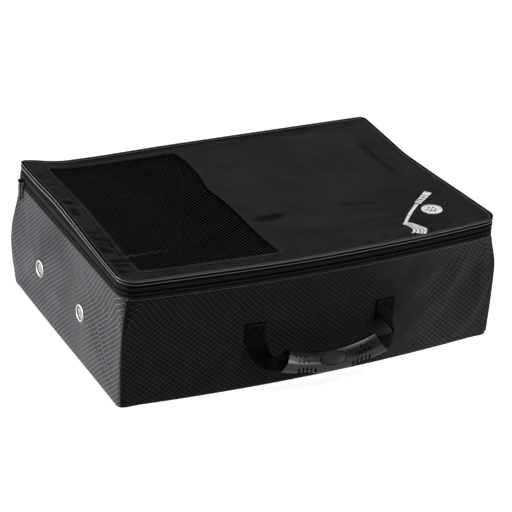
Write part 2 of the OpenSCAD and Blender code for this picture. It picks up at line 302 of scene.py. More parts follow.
def grid_quads(rows, columns, wrap=False, cells=None):
    """Corner numbers of a grid's cells, as an array of quads, for the cells that are wanted."""
    last = columns if wrap else columns - 1
    r, c = np.meshgrid(np.arange(rows - 1), np.arange(last), indexing="ij")
    if cells is not None:
        r, c = r[cells], c[cells]
    r, c = r.ravel(), c.ravel()
    right = (c + 1) % columns
    return np.stack([r * columns + c, r * columns + right,
                     (r + 1) * columns + right, (r + 1) * columns + c], axis=1)


def capped_tube(rows, columns):
    """Faces of a tube of rings, with a face over each end."""
    return grid_quads(rows, columns, wrap=True).tolist() + [
        list(range(columns))[::-1], [(rows - 1) * columns + k for k in range(columns)]]


def repeated(faces, size, count):
    """The faces of a part of that many points, as often as the part is repeated."""
    return [np.asarray(face) + k * size for k in range(count) for face in faces]


def grid_normals(points, wrap=False):
    across = np.gradient(points, axis=1)
    if wrap:
        across = (np.roll(points, -1, axis=1) - np.roll(points, 1, axis=1)) / 2
    return unit(np.cross(across, np.gradient(points, axis=0)))


def sheet(points, thickness, uv, wrap=False, cells=None, normals=None):
    """A grid as a closed sheet of that thickness, centred on it."""
    rows, columns = points.shape[:2]
    normals = grid_normals(points, wrap) if normals is None else normals
    shift = normals * thickness / 2
    both = np.concatenate([(points + shift).reshape(-1, 3), (points - shift).reshape(-1, 3)])
    quads = grid_quads(rows, columns, wrap, cells)
    count = rows * columns
    edges = np.concatenate([quads[:, [k, (k + 1) % 4]] for k in range(4)])
    keys = {(int(a), int(b)) for a, b in edges}
    rim = sorted((a, b) for a, b in keys if (b, a) not in keys)
    faces = quads.tolist() + (quads[:, ::-1] + count).tolist()
    faces += [[b, a, a + count, b + count] for a, b in rim]
    used = np.unique(faces)
    number = np.full(2 * count, -1)
    number[used] = np.arange(len(used))
    return both[used], number[np.array(faces)], np.tile(uv.reshape(-1, 2), (2, 1))[used]


def sweep(centre, side, up, profile, closed=False):
    """Sweeps a closed profile of (side, up) pairs along stations."""
    profile = np.asarray(profile, float)
    points = (centre[:, None] + side[:, None] * profile[None, :, 0, None]
              + up[:, None] * profile[None, :, 1, None])
    rows, columns = points.shape[:2]
    faces = capped_tube(rows, columns)
    if closed:
        faces = (grid_quads(rows + 1, columns, wrap=True) % (rows * columns)).tolist()
    u = np.repeat(along(centre)[:, None], columns, axis=1)
    loop = np.concatenate([profile, profile[:1]])
    v = np.repeat(along(loop)[None, :-1], rows, axis=0)
    return points.reshape(-1, 3), faces, np.stack([u, v], axis=2).reshape(-1, 2)


def side_and_up(points, hint):
    """Directions square to a polyline, the first as near to the hint as it can be."""
    tangent = unit(np.gradient(points, axis=0))
    side = unit(hint - tangent * np.sum(hint * tangent, axis=1, keepdims=True))
    return side, np.cross(tangent, side)


def stitches(points, normals, pitch=3.4 * MM, length=2.5 * MM, radius=0.38 * MM):
    """A row of raised stitches along a polyline on a surface."""
    sides, rings = 6, ((-0.5, 0.25), (-0.36, 0.85), (0.0, 1.0), (0.36, 0.85), (0.5, 0.25))
    at, up = resample(points, pitch, normals)
    middle = (at[:-1] + at[1:]) / 2
    tangent = unit(at[1:] - at[:-1])
    up = unit(up[:-1] + up[1:])
    up = unit(up - tangent * np.sum(up * tangent, axis=1, keepdims=True))
    across = np.cross(tangent, up)
    shape = np.array([
        (t * length, math.cos(a) * r * radius, math.sin(a) * r * radius * 0.8 + radius * 0.5
         - 0.1 * MM) for t, r in rings for a in turns(sides)])
    verts = sum(direction[:, None] * shape[None, :, k, None]
                for k, direction in enumerate((tangent, across, up))) + middle[:, None]
    faces = repeated(capped_tube(len(rings), sides), len(shape), len(middle))
    return verts.reshape(-1, 3), faces, np.tile(shape[:, :2], (len(middle), 1))


def spread(edge, xs, ys):
    """A surface spread between the four sides of the ring's edge line."""
    lines = {}
    for side, at in zip(SIDES, (ys[::-1], xs, ys, xs[::-1])):
        line = edge[side_columns(side)]
        run = along(line)
        lines[side] = at_places((at - at[0]) / (at[-1] - at[0]), run / run[-1], line)
    left, right = lines["left"][::-1], lines["right"]
    front, rear = lines["front"], lines["rear"][::-1]
    u = ((xs - xs[0]) / (xs[-1] - xs[0]))[None, :, None]
    v = ((ys - ys[0]) / (ys[-1] - ys[0]))[:, None, None]
    corners = ((1 - u) * (1 - v) * front[0] + u * (1 - v) * front[-1]
               + (1 - u) * v * rear[0] + u * v * rear[-1])
    return ((1 - u) * left[:, None] + u * right[:, None] + (1 - v) * front[None]
            + v * rear[None] - corners)


# ---------------------------------------------------------------- materials
class Finish:
    """A material whose nodes are made with short calls."""

    def __init__(self, name, colour, roughness=0.6, specular=0.3, **sockets):
        self.material = bpy.data.materials.new(name)
        self.material.use_nodes = True
        self.nodes = self.material.node_tree.nodes
        self.links = self.material.node_tree.links
        self.shader = self.nodes["Principled BSDF"]
        self.set("Base Color", colour)
        self.set("Roughness", roughness)
        self.set("Specular IOR Level", specular)
        for name, value in sockets.items():
            self.set(name.replace("_", " "), value)
        self.height = None

    def feed(self, socket, value):
        if isinstance(value, bpy.types.NodeSocket):
            self.links.new(value, socket)
        elif isinstance(value, tuple) and len(value) == 3 and socket.type == "RGBA":
            socket.default_value = (*value, 1)
        else:
            socket.default_value = value

    def set(self, name, value):
        self.feed(self.shader.inputs[name], value)

    def node(self, kind, inputs, **settings):
        node = self.nodes.new(kind)
        for key, value in settings.items():
            setattr(node, key, value)
        for key, value in inputs.items():
            self.feed(node.inputs[key], value)
        return node

    def math(self, operation, a, b=0.0, c=0.0):
        return self.node("ShaderNodeMath", {0: a, 1: b, 2: c}, operation=operation).outputs[0]

    def times(self, a, b):
        return self.math("MULTIPLY", a, b)

    def times_plus(self, a, b, c):
        return self.math("MULTIPLY_ADD", a, b, c)

    def wave(self, place, pitch):
        return self.math("SINE", self.times(place, 2 * math.pi / pitch))

    def cloth_axes(self):
        """The cloth's own two directions, in millimetres."""
        uv = self.nodes.new("ShaderNodeTexCoord").outputs["UV"]
        split = self.node("ShaderNodeSeparateXYZ", {0: uv})
        return [self.times(split.outputs[k], 1000.0) for k in (0, 1)]

    def place(self, scale=(1, 1, 1)):
        where = self.nodes.new("ShaderNodeTexCoord").outputs["Object"]
        return self.node("ShaderNodeMapping", {"Vector": where, "Scale": scale}).outputs[0]

    def noise(self, scale, detail=3.0, roughness=0.5, stretch=(1, 1, 1)):
        return self.node("ShaderNodeTexNoise", {
            "Vector": self.place(stretch), "Scale": scale, "Detail": detail,
            "Roughness": roughness}).outputs[0]

    def span(self, value, low, high, start, end, kind="LINEAR"):
        return self.node("ShaderNodeMapRange", {
            "Value": value, "From Min": low, "From Max": high, "To Min": start, "To Max": end,
        }, interpolation_type=kind).outputs[0]

    def lines(self, place, pitch, width, shift=0.0):
        """1 on narrow lines across a direction, 0 between them."""
        part = self.math("FRACT", self.times_plus(place, 1.0 / pitch, shift))
        off = self.math("ABSOLUTE", self.math("SUBTRACT", part, 0.5))
        return self.span(off, 0.0, width / pitch / 2, 1.0, 0.0, "SMOOTHSTEP")

    def tint(self, factor, dark, light):
        mix = self.node("ShaderNodeMix", {"Factor": factor}, data_type="RGBA")
        self.feed(mix.inputs[6], dark)
        self.feed(mix.inputs[7], light)
        return mix.outputs[2]

    def gloss(self, cloud, low, high):
        self.set("Roughness", self.span(cloud, 0.3, 0.7, low, high))

    def bump(self, height, distance, strength=1.0):
        inputs = {"Height": height, "Distance": distance, "Strength": strength}
        if self.height is not None:
            inputs["Normal"] = self.height
        self.height = self.node("ShaderNodeBump", inputs).outputs[0]
        self.set("Normal", self.height)


def ripstop(name, ground, thread, second, width, zone):
    """Coated cloth with a diamond grid of matt threads. ground is a pair of tones, second
    weakens one family of threads, painted light where the light picks out the other family,
    and zone gives an axis, where along it a painted change of light falls, and the ground,
    thread and width there."""
    f = Finish(name, ground[0], specular=0.025)
    u, v = f.cloth_axes()
    lean = math.radians(40)
    across = [f.times_plus(u, sign * math.sin(lean), f.times(v, math.cos(lean)))
              for sign in (-1, 1)]
    pitch, fine_width = 5.2, 0.7

    def threads(line_width):
        family = [f.math("ADD", f.lines(place, pitch, line_width),
                         f.times(f.lines(place, pitch, fine_width, 0.5), fine))
                  for place, fine in zip(across, (0.22, 0.35))]
        return f.math("MAXIMUM", family[0], f.times(family[1], second))

    # The zone paints a sheen on the walls' ripstop and shade on the left end's; here is its mask
    # along the axis
    axis, start, end, zone_ground, zone_thread, zone_width = zone
    cloud = f.noise(14.0, 4.0)
    where = f.node("ShaderNodeSeparateXYZ", {0: f.place()}).outputs[axis]
    here = f.span(f.times_plus(cloud, 0.12, where), start + 0.06, end + 0.06, 0.0, 1.0,
                  "SMOOTHSTEP")
    tone = f.tint(here, f.tint(f.span(cloud, 0.3, 0.7, 0.0, 1.0), *ground),
                  f.tint(cloud, *zone_ground))
    usual = threads(width)
    grid = f.times_plus(f.math("SUBTRACT", threads(zone_width), usual), here, usual)
    f.set("Base Color", f.tint(grid, tone, f.tint(here, thread, zone_thread)))
    f.set("Roughness", f.span(f.math("ADD", grid, f.times(cloud, 0.2)), 0.0, 1.2, 0.36, 0.72))
    f.bump(grid, 0.00012, 0.5)
    f.bump(f.noise(1900.0, 1.0), 0.00005, 0.25)
    return f.material


def nylon(name, dark, light, roughness, specular):
    """Plain-weave nylon: fine threads both ways, slow changes of tone, small slubs."""
    f = Finish(name, light, roughness, specular, Sheen_Weight=0.006, Sheen_Roughness=0.4)
    threads = f.times(*[f.wave(axis, 0.62) for axis in f.cloth_axes()])
    cloud = f.noise(11.0, 5.0, 0.55)
    slub = f.noise(900.0, 2.0, stretch=(1, 0.15, 1))
    f.set("Base Color", f.tint(f.times_plus(slub, 0.3, f.times(cloud, 0.75)), dark, light))
    f.gloss(cloud, roughness - 0.06, roughness + 0.08)
    f.bump(threads, 0.00006, 0.4)
    f.bump(slub, 0.00008, 0.35)
    return f.material


def ribbed(name, dark, light, pitch, slant, depth, roughness, specular):
    """Woven tape or webbing: slanting ribs across two thread directions."""
    f = Finish(name, dark, roughness, specular)
    u, v = f.cloth_axes()
    ribs, cross = [f.times_plus(f.wave(place, size), 0.5, 0.5)
                   for place, size in ((f.times_plus(v, slant, u), pitch), (v, 1.1))]
    weave = f.times_plus(cross, 0.4, f.times(ribs, 0.6))
    fuzz = f.noise(700.0, 2.0)
    f.set("Base Color", f.tint(f.times_plus(fuzz, 0.3, f.times(weave, 0.7)), dark, light))
    f.gloss(fuzz, roughness - 0.05, roughness + 0.12)
    f.bump(weave, depth, 0.7)
    f.bump(fuzz, 0.00006, 0.4)
    return f.material


def moulded(name, dark, light, roughness, specular, grain, depth, **sockets):
    """Moulded or painted surface: fine grain, clouded tone and uneven gloss."""
    f = Finish(name, light, roughness, specular, **sockets)
    fine = f.noise(grain, 3.0, 0.6)
    cloud = f.noise(60.0, 4.0)
    f.set("Base Color", f.tint(f.times_plus(fine, 0.3, f.times(cloud, 0.7)), dark, light))
    f.gloss(cloud, roughness - 0.05, roughness + 0.07)
    f.bump(fine, depth, 0.5)
    return f.material


def grey(level, blue):
    """A colour in thousandths: one level for red and green, and one for blue."""
    return (level / 1000, level / 1000, blue / 1000)


BLACK = (grey(1.0, 1.2), grey(2.3, 2.6))
# Painted sheen: the left end's ground, a lit copy of the black ripstop's ground, lighter for the
# light from the left
END_PAINTED_SHEEN = (grey(25, 27.5), grey(52, 56.5))
# Painted sheen: a lighter ground where the light glances off the front's right part
PAINTED_SHEEN_GROUND = (grey(11, 11.8), grey(35, 37.8))
SHADED = (grey(10, 11.2), grey(26, 28.5))
# The walls' ripstop: from about x 0.07 m to 0.17 m its zone paints a sheen, a lighter ground with
# darker, wider threads
RIPSTOP = ripstop("ripstop", BLACK, grey(26, 28), 1.0, 0.95,
                  (0, 0.07, 0.17, PAINTED_SHEEN_GROUND, grey(0.6, 0.7), 1.7))
# The left end's ripstop is a lit copy of the walls' ripstop (painted sheen). From about y 0 to
# -0.10 m towards its front, the zone paints shade, the SHADED ground with bright threads. second at
# 0.5 weakens one thread family, also painted light
RIPSTOP_END_PAINTED_LIGHT = ripstop("ripstop_end_painted_light", END_PAINTED_SHEEN, grey(0.8, 0.9), 0.5, 2.0,
                      (1, 0.0, -0.10, SHADED, grey(110, 116), 1.2))
LID_NYLON = nylon("lid_nylon", grey(2.6, 3.1), grey(7.4, 8.5), 0.46, 0.075)
HEM_NYLON = nylon("hem_nylon", grey(2.8, 3.3), grey(8.0, 9.1), 0.46, 0.085)
LINING = nylon("lining", grey(1.4, 1.7), grey(4.0, 4.5), 0.6, 0.04)
BINDING = ribbed("binding", grey(6, 7), grey(13, 14), 0.9, 0.0, 0.00008, 0.62, 0.1)
# Piping: dark glossy beads whose tone is raised in part as painted highlight, for the bright lines
# the light draws along them
PIPING = ribbed("piping", grey(45, 47), grey(80, 84), 0.8, 0.6, 0.00006, 0.34, 0.4)
ZIP_TAPE = ribbed("zip_tape", grey(1.0, 1.3), grey(3.2, 3.7), 1.2, 0.8, 0.0001, 0.6, 0.012)
TAPE_RIB = ribbed("tape_rib", grey(6.0, 6.6), grey(15, 16), 1.2, 0.8, 0.0001, 0.6, 0.1)
WEBBING = ribbed("webbing", grey(0.6, 0.8), grey(3.4, 3.8), 2.2, 0.9, 0.00025, 0.8, 0.02)
STRAP_WEB = ribbed("strap_webbing", grey(0.5, 0.7), grey(2.6, 3.0), 2.2, 0.9, 0.00025, 0.7, 0.04)
NET = moulded("net", grey(5.5, 5.9), grey(14, 15), 0.42, 0.16, 2600.0, 0.00005)
CORD_CORE = moulded("cord_core", grey(0.6, 0.8), grey(2.0, 2.4), 0.7, 0.02, 900.0, 0.00005)
COIL = moulded("zip_coil", grey(0.8, 1.0), grey(2.6, 3.0), 0.4, 0.08, 900.0, 0.00002)
SEAM_THREAD = moulded("seam_thread", grey(30, 32), grey(70, 74), 0.6, 0.3, 3000.0, 0.00005)
THREAD = moulded("thread", grey(4, 4.5), grey(11, 12), 0.6, 0.12, 3000.0, 0.00005)
FOAM = moulded("foam", grey(200, 210), grey(300, 320), 0.85, 0.2, 1200.0, 0.0002)
BOARD = moulded("board", (0.060, 0.052, 0.044), (0.095, 0.084, 0.072), 0.8, 0.2, 500.0, 0.0001)
EYELET = moulded("eyelet_metal", grey(150, 145), grey(260, 250), 0.45, 0.5, 700.0, 0.00002,
                 Metallic=1.0)
ZIP_METAL = moulded("zip_metal", grey(1.5, 1.8), grey(6, 6.6), 0.4, 0.16, 500.0, 0.00003)
GRIP = moulded("grip_plastic", grey(2.2, 2.7), grey(6.6, 7.5), 0.26, 0.30, 1500.0, 0.00003)
BADGE = moulded("badge_plastic", grey(5, 5.6), grey(10, 11), 0.34, 0.18, 1200.0, 0.00002)
INK = moulded("print_ink", grey(820, 820), grey(950, 950), 0.55, 0.3, 1500.0, 0.00004)


# ---------------------------------------------------------------- cloth
STIFFNESS = 12.0


def graded(obj, name, values, digits, reach):
    """A vertex group of values rounded to that many digits."""
    group = obj.vertex_groups.new(name=name)
    for level in np.unique(np.round(values, digits)):
        near = np.nonzero(np.abs(values - level) < reach)[0].tolist()
        group.add(near, float(level), "REPLACE")


def settle(points, pinned, growth, frame_count, limit, wrap=False, pressure=0.0, gravity=0.0,
           bending=0.4):
    """Lets a grid of cloth, cut a little too large, find its own folds. A point moves at most
    limit away from where it started. Gives the grid afterwards."""
    scene = bpy.context.scene
    rows, columns = points.shape[:2]
    mesh = bpy.data.meshes.new("settling")
    mesh.from_pydata(points.reshape(-1, 3).tolist(), [], grid_quads(rows, columns, wrap).tolist())
    obj = bpy.data.objects.new("settling", mesh)
    scene.collection.objects.link(obj)
    graded(obj, "hold", pinned.ravel(), 2, 0.006)
    graded(obj, "size", (growth / np.max(growth)).ravel(), 1, 0.051)
    modifier = obj.modifiers.new("cloth", "CLOTH")
    cloth = modifier.settings
    cloth.quality = 6
    cloth.mass = 0.25
    cloth.tension_stiffness = cloth.compression_stiffness = STIFFNESS
    cloth.shear_stiffness = STIFFNESS * 0.6
    cloth.bending_stiffness = bending
    cloth.tension_damping = cloth.compression_damping = 12
    cloth.air_damping = 4
    cloth.vertex_group_mass = "hold"
    cloth.pin_stiffness = 1.0
    cloth.vertex_group_shrink = "size"
    cloth.shrink_min = 0.0
    cloth.shrink_max = -float(np.max(growth))
    cloth.effector_weights.gravity = gravity
    cloth.use_pressure = pressure != 0
    cloth.uniform_pressure_force = pressure
    modifier.collision_settings.use_collision = False
    modifier.point_cache.frame_start = 1
    modifier.point_cache.frame_end = frame_count
    for step in range(1, frame_count + 1):
        scene.frame_set(step)
    done = obj.evaluated_get(bpy.context.evaluated_depsgraph_get()).to_mesh()
    moved = np.empty(len(done.vertices) * 3, np.float32)
    done.vertices.foreach_get("co", moved)
    moved = moved.reshape(points.shape) - points
    scene.frame_set(1)
    bpy.data.objects.remove(obj)
    bpy.data.meshes.remove(mesh)
    length = np.linalg.norm(moved, axis=-1, keepdims=True)
    return points + moved * limit * np.tanh(length / limit) / np.maximum(length, 1e-9)


def folded(place, folds):
    """The height of soft ridges, or of valleys where the rise is negative. Each fold gives
    where it starts and ends, its width and its rise, in millimetres."""
    height = np.zeros(place.shape[:-1])
    for start_x, start_y, end_x, end_y, width, rise in folds:
        start = np.array([start_x, start_y]) * MM
        run = np.array([end_x, end_y]) * MM - start
        p = place - start
        t = np.clip(p @ run / (run @ run), 0, 1)
        off = np.linalg.norm(p - t[..., None] * run, axis=-1)
        ends = smooth(t, 0, 0.25) * (1 - smooth(t, 0.75, 1))
        height += rise * MM * np.exp(-(off / (width * MM)) ** 2) * (0.15 + 0.85 * ends)
    return height


# ---------------------------------------------------------------- the walls
WALL_ROWS = 36
WALL_HEIGHTS = np.linspace(BASE_T * 0.6, WALL_TOP, WALL_ROWS)
WALL_NODE = {"left": "left_end_panel", "front": "front_panel", "right": "right_end_panel",
             "rear": "rear_panel"}
BULGE = {
    "left": soft_curve([(0, 4), (11, 6.0), (34, 9.6), (58, 11.6), (80, 10.4), (102, 6.6),
                        (124, 1.2), (139, 0)], 8),
    "front": soft_curve([(0, 1.2), (40, 2.2), (80, 2), (120, 0.8), (139, 0)], 10),
    "right": soft_curve([(0, 1.6), (33, 2.4), (67, 2.6), (101, 2.2), (125, 1), (139, 0)], 10),
    "rear": soft_curve([(0, 1), (40, 4), (80, 5), (120, 1.5), (139, 0)], 10),
}
WALL_FOLDS = {
    "left": [(-153, 22, -102, 88, 6, 2.4), (-108, 82, -36, 132, 6, 2.2),
             (-140, 22, -92, 80, 5, -2.0), (-120, 66, -10, 124, 6, 1.8),
             (-158, 62, -118, 120, 6, -1.8), (-60, 40, 5, 8, 8, 1.2), (40, 118, 120, 30, 10, 1.4),
             (100, 125, 152, 60, 9, -0.9), (-20, 96, 60, 20, 12, -0.7)],
    "front": [(226, 134, 104, 16, 8, 3.6), (240, 118, 142, 8, 8, -3.2), (246, 86, 190, 6, 9, 2.4),
              (206, 134, 112, 58, 6, -2.6), (120, 96, 168, 120, 6, 2.0),
              (148, 128, 182, 112, 5, -1.8), (104, 100, 140, 64, 8, 1.0),
              (-84, 130, -168, 92, 9, -1.5), (-64, 124, -192, 56, 9, 1.5),
              (-232, 40, -150, 110, 12, 0.9), (-108, 60, -140, 12, 8, 1.0),
              (-96, 58, -112, 8, 7, -1), (-60, 30, 10, 92, 14, -0.9), (-20, 118, 60, 60, 12, 1.0),
              (110, 58, 128, 8, 7, 1.1), (96, 58, 104, 6, 6, -0.9), (-40, 128, 30, 132, 6, 0.7),
              (0, 20, 60, 8, 9, 0.7)],
    "right": [(-150, 130, -70, 30, 10, 1.6), (-120, 120, -60, 20, 9, -1.2),
              (10, 120, 90, 20, 12, 1.2), (60, 124, 140, 40, 10, -1.2), (-20, 30, 60, 10, 10, 1.0)],
    "rear": [(-200, 124, -90, 20, 12, 1.6), (-60, 20, 40, 118, 14, -1.3),
             (60, 122, 170, 24, 12, 1.4), (150, 20, 230, 110, 10, -1.2),
             (-230, 30, -170, 100, 9, 1.1)],
}


def wall_row(z):
    """The walls' outer face at one height, round the bag, before the cloth settles."""
    tight = 1 - smooth(z, 96 * MM, WALL_TOP)
    plan, normal = ring(FRONT_R + (FRONT_R_LOW - FRONT_R) * tight,
                        REAR_R + (REAR_R_LOW - REAR_R) * tight)
    share = facing(normal)
    out = sum(share[s] * BULGE[s](z) for s in SIDES)
    taper = 0.38 + 0.62 * smooth(plan[:, 1], -HALF_D, HALF_D * 0.7)
    out *= 1 - share["left"] * (1 - taper)
    return np.column_stack([plan + normal * out[:, None], np.full(len(plan), z)])


walls = np.array([wall_row(z) for z in WALL_HEIGHTS])
wall_normal = grid_normals(walls, wrap=True)
share = facing(wall_normal)
for side, folds in WALL_FOLDS.items():
    height = folded(np.stack([walls[..., AXIS[side]], walls[..., 2]], axis=-1), folds)
    free = smooth(walls[..., 2], 0, 12 * MM) * (1 - smooth(walls[..., 2], 128 * MM, WALL_TOP))
    walls += wall_normal * (height * share[side] ** 3 * free)[..., None]

VENTS = (-VENT_HALF_PITCH, VENT_HALF_PITCH)
ANCHORS = (-ANCHOR_X, ANCHOR_X)
wall_x, wall_y, wall_z = np.moveaxis(walls, -1, 0)
pinned = np.zeros(walls.shape[:2])
pinned[[0, -1]] = 1
pinned[1] = 0.6
pinned[-2] = 0.5
corner_share = 4 * wall_normal[..., 0] ** 2 * wall_normal[..., 1] ** 2
pinned = np.maximum(pinned, np.where(corner_share > 0.85, 0.75, 0))
for y in VENTS:
    near = np.hypot(wall_y - y, wall_z - VENT_Z) < VENT_D * 0.62
    pinned[near & (wall_x < -HALF_W * 0.9)] = 1
for x in ANCHORS:
    near = ((np.abs(wall_x - x) < ANCHOR_W * 0.62)
            & (np.abs(wall_z - (ANCHOR_LO.z + ANCHOR_W / 2)) < ANCHOR_W * 0.62))
    pinned[near & (wall_y < -HALF_D * 0.9)] = 1
growth = 0.008 + 0.012 * smooth(wall_z, 100 * MM, WALL_TOP)
walls = settle(walls, pinned, growth, 22, limit=3.5 * MM, wrap=True, pressure=0.25,
               gravity=0.3)
wall_normal = grid_normals(walls, wrap=True)
middle_row = walls[WALL_ROWS // 2]


def inward(depth, thickness, side, rows=slice(None)):
    """One side's grid, moved inwards from the outer face to the middle of an inner layer."""
    columns = side_columns(side)
    grid = walls[rows][:, columns]
    return grid - wall_normal[rows][:, columns] * (depth + thickness / 2)


for side, node in WALL_NODE.items():
    grid = inward(0.0, PANEL_T, side)
    uv = np.stack(np.meshgrid(along(middle_row[side_columns(side)]),
                              np.linspace(0, WALL_TOP, WALL_ROWS)), axis=-1)
    cells = np.ones((grid.shape[0] - 1, grid.shape[1] - 1), bool)
    if side == "left":
        middle = (grid[1:, 1:] + grid[:-1, :-1]) / 2
        for y in VENTS:
            off = np.hypot(middle[..., 1] - y, middle[..., 2] - VENT_Z)
            cells &= off > VENT_D / 2 - 4.5 * MM
    # The left end takes the ripstop with painted sheen and painted shade
    panel = make(node + "_cloth", sheet(grid, PANEL_T, uv, cells=cells),
                 RIPSTOP_END_PAINTED_LIGHT if side == "left" else RIPSTOP, "bag", "ripstop", node)
    rows = slice(1, WALL_ROWS - 1)
    foam = inward(PANEL_T + LAYER_GAP, FOAM_T, side, rows)
    pad = make(side + "_padding", sheet(foam, FOAM_T, uv[rows], cells=cells[1:-1]), FOAM, "bag",
               "foam", side + "_foam")


# ---------------------------------------------------------------- the lid
WINDOW_W = 175 * MM
NET_SAG_AT = (-0.1275, 0.003)
NET_SAG_REACH = (0.0875, 0.147)
WINDOW_LO, WINDOW_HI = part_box("window_binding")
HEM = (WINDOW_HI.x - WINDOW_LO.x - WINDOW_W) / 2
WINDOW_X = (WINDOW_LO.x + HEM, WINDOW_HI.x - HEM)
WINDOW_Y = (WINDOW_LO.y + HEM, WINDOW_HI.y - HEM)


def spaced(stops, counts):
    """Places between the stops, an even count in each gap."""
    parts = [np.linspace(a, b, n, endpoint=False) for a, b, n in zip(stops, stops[1:], counts)]
    return np.concatenate([*parts, [stops[-1]]])


def window_rectangle(margin):
    """The window's corners, moved out by a margin."""
    return (np.array([WINDOW_X[0] - margin, WINDOW_Y[0] - margin]),
            np.array([WINDOW_X[1] + margin, WINDOW_Y[1] + margin]))


def in_window(x, y):
    return (x > WINDOW_X[0]) & (x < WINDOW_X[1]) & (y > WINDOW_Y[0]) & (y < WINDOW_Y[1])


lid_front_y = -(HALF_D + FRONT_BOW * 0.8) + LID_INSET
lid_xs = spaced([-HALF_W + LID_INSET, *WINDOW_X, HALF_W - LID_INSET], [12, 46, 84])
lid_ys = spaced([lid_front_y, *WINDOW_Y, HALF_D - LID_INSET], [10, 100, 6])
lid_flat = np.stack(np.meshgrid(lid_xs, lid_ys), axis=-1)

LID_FOLDS = [
    (-31, -62, 6, -60, 4, -3.0), (-30, -50, 20, -56, 6, 1.8), (84, -56, 142, -72, 5, -2.2),
    (80, -66, 150, -84, 8, 1.6), (214, 112, 212, 0, 9, -3.4), (196, 120, 192, -10, 14, 1.6),
    (-28, -145, -12, -150, 4, -1.8), (-30, 120, 150, 60, 34, 2.0), (-20, 20, 120, -20, 22, -1.8),
    (20, 140, 190, 100, 18, -1.4), (-20, -96, 100, -120, 13, 1.8), (150, -20, 228, -70, 13, 1.8),
    (100, -130, 210, -150, 8, -1.4), (-34, 60, -14, 20, 6, 1.2), (-36, -10, -16, -40, 5, 1.4),
    (40, 100, 70, -40, 16, 1.2), (120, 120, 150, 10, 14, -1.2), (10, -20, 60, -90, 9, -1.2),
    (60, -100, 150, -108, 6, 1.0), (-30, 90, 30, 80, 8, -1.0), (180, 40, 236, 20, 9, 1.2),
    (226, -20, 238, -120, 6, -1.4), (-10, 150, 60, 158, 6, 1.2), (90, 156, 170, 150, 6, -1.2),
]
pucker = np.random.default_rng(7)
for k in range(26):
    y = 142 - 11.4 * k + pucker.uniform(-4, 4)
    LID_FOLDS.append((pucker.uniform(-246, -240), y, pucker.uniform(-232, -214),
                      y + pucker.uniform(-9, 9), pucker.uniform(2.6, 5.6),
                      pucker.choice((-1, 1)) * pucker.uniform(1.2, 3.4)))
for k in range(20):
    x = -222 + 20.5 * k + pucker.uniform(-6, 6)
    LID_FOLDS.append((x, pucker.uniform(-172, -166), x + pucker.uniform(8, 26),
                      pucker.uniform(-158, -146), pucker.uniform(2.6, 5.6),
                      pucker.choice((-1, 1)) * pucker.uniform(1.0, 2.6)))

# The lid before it settles: spread between its edges, with its sags and folds
plan, normal = ring(out=-LID_INSET)
edge = rim_warp(np.column_stack([plan, np.full(len(plan), BAG_TOP - 0.6 * MM)]), normal)
lid = spread(edge, lid_xs, lid_ys)
mid_u = (lid[..., 0] / HALF_W) ** 2
mid_v = ((lid[..., 1] + FRONT_BOW / 2) / HALF_D) ** 2
inside = np.clip(1 - mid_u, 0, 1) * np.clip(1 - mid_v, 0, 1)
window_u = np.clip(1 - ((lid[..., 0] - NET_SAG_AT[0]) / NET_SAG_REACH[0]) ** 2, 0, 1)
window_v = np.clip(1 - ((lid[..., 1] - NET_SAG_AT[1]) / NET_SAG_REACH[1]) ** 2, 0, 1)
lid[..., 2] -= 2.0 * MM * inside + 2.2 * MM * window_u * window_v
rise = folded(lid[..., :2], LID_FOLDS)
# The strip between the window and the rest is drawn towards the window in the middle
sway = soft_curve([(-150, -3), (-95, -5), (-66, -4), (-22, -3), (6, -4), (41, -7.5), (89, 1),
                   (125, 1), (150, -5)], 9)
near_edge = np.exp(-((lid[..., 0] + 40 * MM) / (26 * MM)) ** 2)
lid[..., 0] += sway(lid[..., 1]) * near_edge
to_edge = [np.minimum(at - at[0], at[-1] - at) for at in (lid_xs, lid_ys)]
lid[..., 2] += rise * smooth(np.minimum(to_edge[0][None], to_edge[1][:, None]), 0, 9 * MM)

pinned = np.zeros(lid.shape[:2])
pinned[[0, -1]] = 1
pinned[:, [0, -1]] = 1
strip = np.maximum(1 - smooth(lid_flat[..., 0], -HALF_W + 20 * MM, WINDOW_X[0]),
                   1 - smooth(lid_flat[..., 1], lid_front_y + 12 * MM, WINDOW_Y[0]))
growth = 0.004 + 0.028 * strip
growth[in_window(lid_flat[..., 0], lid_flat[..., 1])] = 0.006
lid = settle(lid, pinned, growth, 26, limit=3.0 * MM, gravity=0.4, bending=0.6)
lid_normal = grid_normals(lid)


def lid_at(flat, lift=0.0):
    """Points and normals on the lid for flat places, lifted off its middle surface."""
    column = np.interp(flat[..., 0], lid_xs, np.arange(len(lid_xs)))
    row = np.interp(flat[..., 1], lid_ys, np.arange(len(lid_ys)))
    point, normal = between(row, column, lid, lid_normal)
    normal = unit(normal)
    return point + normal * lift, normal


cell_x, cell_y = [(at[1:] + at[:-1]) / 2 for at in (lid_xs, lid_ys)]
top = make("lid_panel_cloth",
           sheet(lid, LID_T, lid_flat, cells=~in_window(cell_x[None], cell_y[:, None])),
           LID_NYLON, "lid", "lid_nylon", "lid_panel")

# The mesh: a net of ribs and thinner cross strands, cut along the window's edges
RIB_LEAN = math.radians(29)
CROSS_LEAN = RIB_LEAN - math.radians(92)
RIB_PITCH = 4.5 * MM
CROSS_PITCH = 3.7 * MM
NET_DROP = -(LID_T / 2 + 0.45 * MM)
NET_MARGIN = 5 * MM


def clipped(origin, direction, low, high):
    """Where a line enters and leaves a box, as two distances along it. Neither part of
    its direction is zero."""
    ends = np.sort([(low - origin) / direction, (high - origin) / direction], axis=0)
    return ends[0].max(), ends[1].min()


